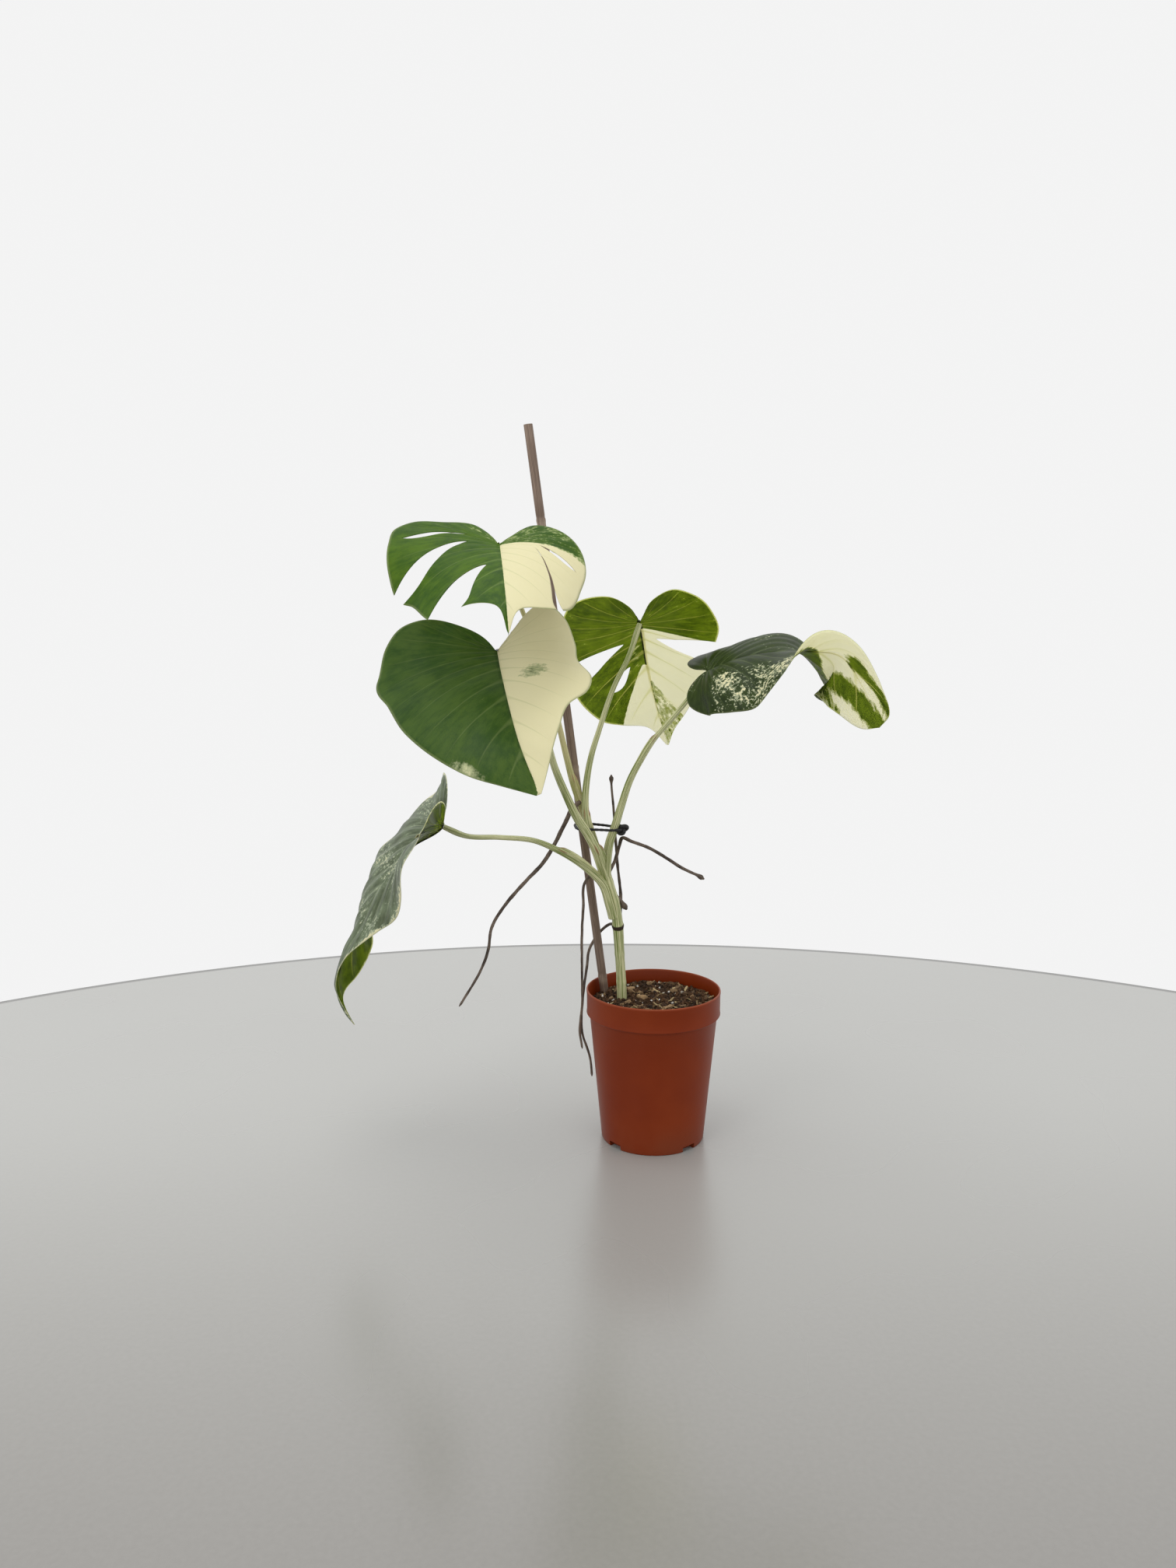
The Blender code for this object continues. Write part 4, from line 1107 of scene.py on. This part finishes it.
for seed, (name, (route, (start, end), tip, outside)) in enumerate(ROOTS.items()):
    route = [*above_soil(route), *[beside_pot(*place) for place in outside]]
    radii = start + (end - start) * distances(route) / distances(route)[-1]
    profile = root_profile(seed * ROOT_SEED_STEP, tip)
    root = grown_bar(name.replace("aerial_", ""), wander(route, seed, ROOT_WANDER), radii, profile, 16, 0.1)
    finish_piece(root, [name], [root_bark], 60)

# %% [markdown]
# ## Cane
#
# The cane is thin bamboo, stained brown. It is straight, flat-cut, and has a few nodes: a raised ring
# with a paler band. Its fibres run lengthwise. The plain model says where its two ends are.

# %% Cane
CANE_RADIUS = 0.39
CANE_FOOT = np.array((cane_high[0] - CANE_RADIUS, cane_high[1] - CANE_RADIUS, cane_low[2] + 0.05))
CANE_TOP = np.array((cane_low[0] + CANE_RADIUS, cane_low[1] + CANE_RADIUS, cane_high[2] - 0.06))
CANE_NODES = (7.5, 27.0, 48.6)


def cane_profile(angle, along, length):
    rings = sum(hump(place, 0.16, along) - 0.5 * hump(place + 0.3, 0.12, along) for place in CANE_NODES)
    return 0.985 + 0.07 * rings + 0.008 * np.cos(7 * angle)


cane_line = [tuple(CANE_FOOT + (CANE_TOP - CANE_FOOT) * share) for share in (0, 0.5, 1)]
cane = grown_bar("bamboo_cane", cane_line, [CANE_RADIUS] * 3, cane_profile, 32, 0.1, (0, -1, 0))
along = noted(cane.data, "along")
note(cane.data, "scar", sum(hump(place - 0.25, 0.35, along) for place in CANE_NODES))

material, tree = new_material("brown_cane", Specular_IOR_Level=0.35)
rolled = round_place(kept_number(tree, "around"), kept_number(tree, "along"), 6.0, 0.16)
fibres = patches(rolled, 1.5, 5.0, 0.6)
stain = patches(object_place(tree), 24.0, 3.0)
wood = blend(between(fibres, 0.35, 0.65), (96, 78, 66), (158, 138, 122))
wood = blend(between(stain, 0.35, 0.7, 0.0, 0.5), wood, (100, 80, 66))
pale = calculate("MULTIPLY", kept_number(tree, "scar"), between(fibres, 0.3, 0.6), clamp=True)
wood = blend(pale, wood, (168, 150, 132))
paint(tree, wood, between(fibres, 0.3, 0.7, 0.5, 0.7), fibres, 0.0005, 0.7)
finish_piece(cane, ["cane"], [material], 40)

# %% [markdown]
# ## Tie
#
# Soft black garden tie goes once round the cane and the stalks and ends in a knot beside the right
# stalk. Its two strands are twisted together, so its profile has two lobes that turn along its
# length. The knot is a real overhand knot: a thick strand that follows a trefoil line.

# %% Tie
TIE_RADIUS = 0.1235
TIE_HEIGHT = 15.6
TIE_FRONT = [(-6.9, 0.2), (-6.6, -0.5), (-5.5, -0.65), (-4.6, -0.85), (-3.9, -1.05), (-3.15, -0.95),
             (-2.85, -0.3), (-3.2, 0.35)]
TIE_BACK_TURNS = (45, 90, 135, 180)
TIE_REACH = 0.55
TIE_KNOT_AT = (-2.98, -0.42)
TIE_TWIST = 7.0
KNOT_SIZE = 0.1296
KNOT_WIDENING = 1.5
KNOT_STRAND = 0.19
part_way = (SOIL_TOP + TIE_HEIGHT - CANE_FOOT[2]) / (CANE_TOP[2] - CANE_FOOT[2])
cane_x, cane_y, _ = CANE_FOOT + (CANE_TOP - CANE_FOOT) * part_way
back = [(cane_x + TIE_REACH * math.cos(turn), cane_y + TIE_REACH * math.sin(turn))
        for turn in map(math.radians, TIE_BACK_TURNS)]
lap = above_soil([(x, y, TIE_HEIGHT) for x, y in [*TIE_FRONT, *back, TIE_FRONT[0]]])


def twisted_profile(angle, along, length):
    return 0.8 + 0.2 * abs(np.cos(angle + TIE_TWIST * along))


loop = grown_bar("tie_loop", lap, [TIE_RADIUS] * len(lap), twisted_profile, 20, 0.05, (0, 0, 1))
turns = np.linspace(0, math.tau, 61)
trefoil = np.stack([
    KNOT_WIDENING * (np.sin(turns) + 2 * np.sin(2 * turns)),
    np.sin(3 * turns),
    np.cos(turns) - 2 * np.cos(2 * turns),
], axis=1) * KNOT_SIZE
knot_line = [tuple(point) for point in trefoil + np.array([*TIE_KNOT_AT, SOIL_TOP + TIE_HEIGHT])]
knot = grown_bar("tie_knot", knot_line, [KNOT_STRAND] * len(knot_line), None, 16, 0.03, (0.3, 0, 1))
tie = join("cane_tie", [loop, knot])

material, tree = new_material("black_tie", Specular_IOR_Level=0.35)
weave = patches(object_place(tree), 1400.0, 2.0)
black = blend(between(weave, 0.35, 0.65), (20, 20, 21), (46, 46, 48))
paint(tree, black, between(weave, 0.3, 0.7, 0.45, 0.65), weave, 0.0003, 0.6)
finish_piece(tie, ["plant_tie"], [material], 60)

# %% [markdown]
# ## Pot
#
# The pot is thin moulded plastic. It starts as a circle that is extruded ring by ring: up the outer
# wall, round the rim band with its small bead, over the lip, down the inner wall and across the floor.
# Boolean cuts then open the four notches at the foot and the drain holes in the floor.

# %% Pot
NOTCH_COUNT = 4
NOTCH_TURN = math.radians(41)
NOTCH_SIZE = (1.2, 1.4, 1.0)
NOTCH_ROUNDING = 0.1
HOLE_COUNT = 8
HOLE_RADIUS = 0.4
HOLE_REACH = 3.1
INNER_WALL_TOP = WALL_TOP - POT_WALL
# Rings as (radius, height), from the foot up the outside, over the lip and down the inside. The rim
# band's rings are given from its outside and its foot, and the lip's rings from its outside and its top.
BAND_RINGS = [(0.06, 0.02), (0.02, 0.08), (0.03, 0.2), (0.05, 0.3)]
LIP_RINGS = [(0.04, 0.4), (0.01, 0.26), (0.005, 0.1), (0.03, 0.025), (0.08, 0.0), (0.13, 0.02), (0.17, 0.1)]
POT_RINGS = [
    (POT_FOOT_RADIUS - 0.55, 0.0), (POT_FOOT_RADIUS - 0.12, 0.0), (POT_FOOT_RADIUS - 0.03, 0.03),
    *[(outer_wall(height), height) for height in (0.12, 0.6, 3.0, 6.0, 9.0)],
    (WALL_TOP, BAND_FOOT - 0.1), (WALL_TOP + 0.04, BAND_FOOT - 0.03), (WALL_TOP + 0.2, BAND_FOOT),
    *[(RIM_RADIUS - inward, BAND_FOOT + above) for inward, above in BAND_RINGS],
    *[(RIM_RADIUS - inward, POT_HEIGHT - below) for inward, below in LIP_RINGS],
    (RIM_RADIUS - 0.17, BAND_FOOT + 0.35), (INNER_WALL_TOP + 0.02, BAND_FOOT + 0.05),
    (INNER_WALL_TOP, BAND_FOOT - 0.1), (outer_wall(3) - POT_WALL, 3.0), (outer_wall(0.4) - POT_WALL, 0.4),
    (outer_wall(0.3) - POT_WALL - 0.15, POT_FLOOR),
]
bpy.ops.object.select_all(action="DESELECT")
bpy.ops.mesh.primitive_circle_add(vertices=160, radius=POT_RINGS[0][0] * CM, fill_type="NGON")
pot = added("nursery_pot")


def extrude_rings():
    radius, height = POT_RINGS[0]
    for next_radius, next_height in POT_RINGS[1:]:
        rise = (0, 0, (next_height - height) * CM)
        bpy.ops.mesh.extrude_region_move(TRANSFORM_OT_translate={"value": rise})
        grow = next_radius / radius
        bpy.ops.transform.resize(value=(grow, grow, 1), center_override=(0, 0, 0))
        radius, height = next_radius, next_height
    bpy.ops.mesh.select_all(action="SELECT")
    face_outwards()


edit(pot, extrude_rings)


def round_the_pot(reach, turn):
    return (reach * CM * math.cos(turn), reach * CM * math.sin(turn), 0)


def cut_away(obj, cutter):
    apply_modifier(obj, "cut", "BOOLEAN", operation="DIFFERENCE", solver="EXACT", object=cutter)
    bpy.data.objects.remove(cutter)


for number in range(NOTCH_COUNT):
    turn = NOTCH_TURN + number * math.tau / NOTCH_COUNT
    place = round_the_pot(POT_FOOT_RADIUS, turn)
    bpy.ops.mesh.primitive_cube_add(size=1, location=place, rotation=(0, 0, turn))
    cutter = added("notch")
    cutter.scale = [side * CM for side in NOTCH_SIZE]
    bpy.ops.object.transform_apply(location=True, rotation=True, scale=True)
    apply_modifier(cutter, "soft_edges", "BEVEL", width=NOTCH_ROUNDING * CM, segments=3)
    cut_away(pot, cutter)
for number in range(HOLE_COUNT):
    place = round_the_pot(HOLE_REACH, math.tau * number / HOLE_COUNT)
    bpy.ops.mesh.primitive_cylinder_add(vertices=24, radius=HOLE_RADIUS * CM, depth=1 * CM, location=place)
    cutter = added("drain_hole")
    bpy.ops.object.transform_apply(location=True)
    cut_away(pot, cutter)

# %% Pot plastic
material, tree = new_material("terracotta_plastic", Specular_IOR_Level=0.2)
place = object_place(tree)
clouds = patches(place, 14.0, 3.0)
grains = patches(place, 900.0, 2.0)
axes = add_node(tree, "ShaderNodeSeparateXYZ", {0: place})
turning_lines = patches(combine(axes["X"] * 60.0, axes["Y"] * 60.0, axes["Z"] * 700.0), 1.0, 2.0)
plastic = blend(between(clouds, 0.3, 0.7), (120, 41, 6), (132, 50, 12))
splash = between(axes["Z"], 0.035, 0.0) * between(clouds, 0.45, 0.7) * 0.35
plastic = blend(splash, plastic, (104, 62, 44))
# The top of the lip is painted lighter: a painted highlight where the light catches the rim.
painted_lip_highlight = between(axes["Z"], (POT_HEIGHT - 0.18) * CM, (POT_HEIGHT - 0.02) * CM, 0.0, 0.6)
plastic = blend(painted_lip_highlight, plastic, (160, 84, 54))
paint(tree, plastic, between(clouds, 0.3, 0.7, 0.34, 0.48), grains * 0.4 + turning_lines * 0.6, 0.0002, 0.5)
finish_piece(pot, ["pot"], [material], 32)

# %% [markdown]
# ## Bed of peat
#
# The bed is a grid rolled round the pot's axis: its rows run from the middle out to the wall and down
# along it to the floor. The top rows are lifted by noise at two sizes, heaped a little at the stem.

# %% Bed
STEM_FOOT = (-2.8, 0.3)
BED_EDGE = INNER_WALL_TOP - 0.03
BED_FOOT = POT_FLOOR + 0.03
BED_FOOT_RADIUS = outer_wall(0.3) - POT_WALL - 0.2
BED_AROUND = 180
BED_ROWS = 90
TOP_SHARE = 0.8
WALL_SHARE = 0.96
rng = np.random.default_rng(21)


def bed_height(x, y):
    """The bed's top in centimetres at a place in the pot."""
    reach = math.hypot(x, y) / BED_EDGE
    coarse = noise.noise(Vector((x * 0.55, y * 0.55, 3.0))) * 0.14
    fine = noise.noise(Vector((x * 2.6, y * 2.6, 8.0))) * 0.09
    crumbs = abs(noise.noise(Vector((x * 7.0, y * 7.0, 1.0)))) * 0.07
    heap = 0.06 * math.exp(-((x - STEM_FOOT[0]) ** 2 + (y - STEM_FOOT[1]) ** 2) / 1.6)
    return SOIL_TOP + coarse + fine + crumbs + heap - 0.12 * reach**4


bed, turn, row = new_grid("peat_bed", BED_AROUND, BED_ROWS)
turn = turn * math.tau
on_top = np.clip(row / TOP_SHARE, 0, 1)
down = np.clip((row - TOP_SHARE) / (WALL_SHARE - TOP_SHARE), 0, 1)
inward = np.clip((row - WALL_SHARE) / (1 - WALL_SHARE), 0, 1)
radius = on_top * (BED_EDGE - (BED_EDGE - BED_FOOT_RADIUS) * down) * (1 - inward)
x, y = radius * np.cos(turn), radius * np.sin(turn)
top = np.array([bed_height(*place) for place in zip(x, y)])
edge_top = np.array([bed_height(BED_EDGE * math.cos(angle), BED_EDGE * math.sin(angle)) for angle in turn])
height = np.where(row <= TOP_SHARE, top, edge_top + (BED_FOOT - edge_top) * down)
set_places(bed.data, np.stack([x, y, height], axis=1) * CM)
edit(bed, merge_points, face_outwards)

material, tree = new_material("dark_peat", Specular_IOR_Level=0.2)
place = object_place(tree)
lumps = patches(place, 240.0, 5.0, 0.65)
threads = patches(place, 1100.0, 3.0, 0.6)
peat = blend(between(lumps, 0.35, 0.65), (36, 24, 15), (76, 54, 36))
peat = blend(between(threads, 0.56, 0.7, 0.0, 0.7), peat, (124, 98, 68))
paint(tree, peat, between(lumps, 0.3, 0.7, 0.85, 0.98), lumps, 0.0015, 0.9)
finish_piece(bed, ["potting_mix"], [material], 60)

# %% [markdown]
# ## Bark, crumbs and perlite
#
# Loose bits lie on the bed. A few rough prototypes of each kind are modelled, then copied many times
# with a turn, a tilt and a size from a seeded random row, and joined into one piece per kind.

# %% Kinds of loose bits
BITS = {
    "bark_chips": dict(
        blocks=[(1.0, 0.5, 0.22), (0.9, 0.6, 0.3), (1.0, 0.35, 0.2), (0.8, 0.7, 0.26), (1.0, 0.25, 0.25)],
        cuts=2, unevenness=[0.22] * 5, count=64, sizes=(0.35, 1.0), lift=0.08, tilt=0.35,
        look=("bark_chip", (58, 40, 26), (172, 142, 104), 420.0, 0.0008), smooth=40),
    "peat_crumbs": dict(
        blocks=[(1.0, 0.8, 0.7), (0.9, 0.9, 0.5), (1.0, 0.5, 0.5), (1.0, 0.2, 0.15)],
        cuts=1, unevenness=[0.3] * 4, count=1500, sizes=(0.1, 0.34), lift=0.15, tilt=0.7,
        look=("peat_crumb", (30, 20, 12), (96, 68, 44), 700.0, 0.0005), smooth=40),
    "bark_fibres": dict(
        blocks=[(1.0, 0.08, 0.06), (1.0, 0.14, 0.04)],
        cuts=2, unevenness=[0.07, 0.1], count=110, sizes=(0.3, 1.3), lift=0.06, tilt=0.3,
        look=("pale_fibre", (110, 86, 54), (206, 186, 140), 900.0, 0.0003), smooth=40),
    "perlite_grains": dict(
        blocks=[(1.0, 0.9, 0.8), (0.9, 0.7, 0.8), (1.0, 0.8, 0.6)],
        cuts=2, unevenness=[0.2] * 3, count=46, sizes=(0.1, 0.24), lift=0.25, tilt=0.8,
        look=("white_perlite", (196, 190, 178), (240, 237, 230), 900.0, 0.0003), smooth=50),
}
STEM_ROOM = 0.5


# %% Loose bits
def rough_lump(size, cuts, unevenness):
    """The points and faces of an uneven block: the prototype of one loose bit, in centimetres."""
    bpy.ops.object.select_all(action="DESELECT")
    bpy.ops.mesh.primitive_cube_add(size=1)
    lump = added("lump")
    lump.scale = size
    bpy.ops.object.transform_apply(scale=True)
    edit(lump, lambda: bpy.ops.mesh.subdivide(number_cuts=cuts, smoothness=0.25))
    set_places(lump.data, [place + np.array(noise.noise_vector(Vector(place / max(size) * 2.2)))
                           * unevenness * max(size) for place in places_of(lump.data)])
    shape = places_of(lump.data), [list(face.vertices) for face in lump.data.polygons]
    bpy.data.objects.remove(lump)
    return shape


def scatter(name, shapes, count, sizes, lift, tilt):
    """Copies the prototypes over the bed and joins the copies into one piece."""
    points, faces, tones, start = [], [], [], 0
    while len(tones) < count:
        away = BED_EDGE * math.sqrt(rng.random())
        turn = rng.random() * math.tau
        x, y = away * math.cos(turn), away * math.sin(turn)
        size = rng.uniform(*sizes)
        angles = (rng.normal(0, tilt), rng.normal(0, tilt), rng.random() * math.tau)
        tone = rng.random()
        shape, loops = shapes[int(rng.integers(len(shapes)))]
        near_stem = math.hypot(x - STEM_FOOT[0], y - STEM_FOOT[1]) < STEM_ROOM
        if near_stem or away > BED_EDGE - 0.45 * size:
            continue
        matrix = np.array(Euler(angles).to_matrix())
        points.append(shape @ matrix.T * size + np.array((x, y, bed_height(x, y) + lift * size)))
        faces.extend([[start + corner for corner in loop] for loop in loops])
        start += len(shape)
        tones.append((tone, len(shape)))
    mesh = bpy.data.meshes.new(name)
    mesh.from_pydata((np.concatenate(points) * CM).tolist(), [], faces)
    note(mesh, "tone", np.concatenate([np.full(size, tone) for tone, size in tones]))
    bits = bpy.data.objects.new(name, mesh)
    bpy.context.scene.collection.objects.link(bits)
    edit(bits, face_outwards)
    return bits


def bits_material(name, dark, light, grain, bump):
    material, tree = new_material(name, Specular_IOR_Level=0.25)
    rough = patches(object_place(tree), grain, 4.0, 0.6)
    share = kept_number(tree, "tone") * 0.7 + (rough - 0.35) * 0.8
    colour = blend(between(share, 0.0, 1.0), dark, light)
    paint(tree, colour, between(rough, 0.3, 0.7, 0.75, 0.95), rough, bump, 0.8)
    return material


for name, kind in BITS.items():
    blocks = zip(kind["blocks"], kind["unevenness"])
    shapes = [rough_lump(block, kind["cuts"], unevenness) for block, unevenness in blocks]
    bits = scatter(name, shapes, kind["count"], kind["sizes"], kind["lift"], kind["tilt"])
    finish_piece(bits, [], [bits_material(*kind["look"])], kind["smooth"])
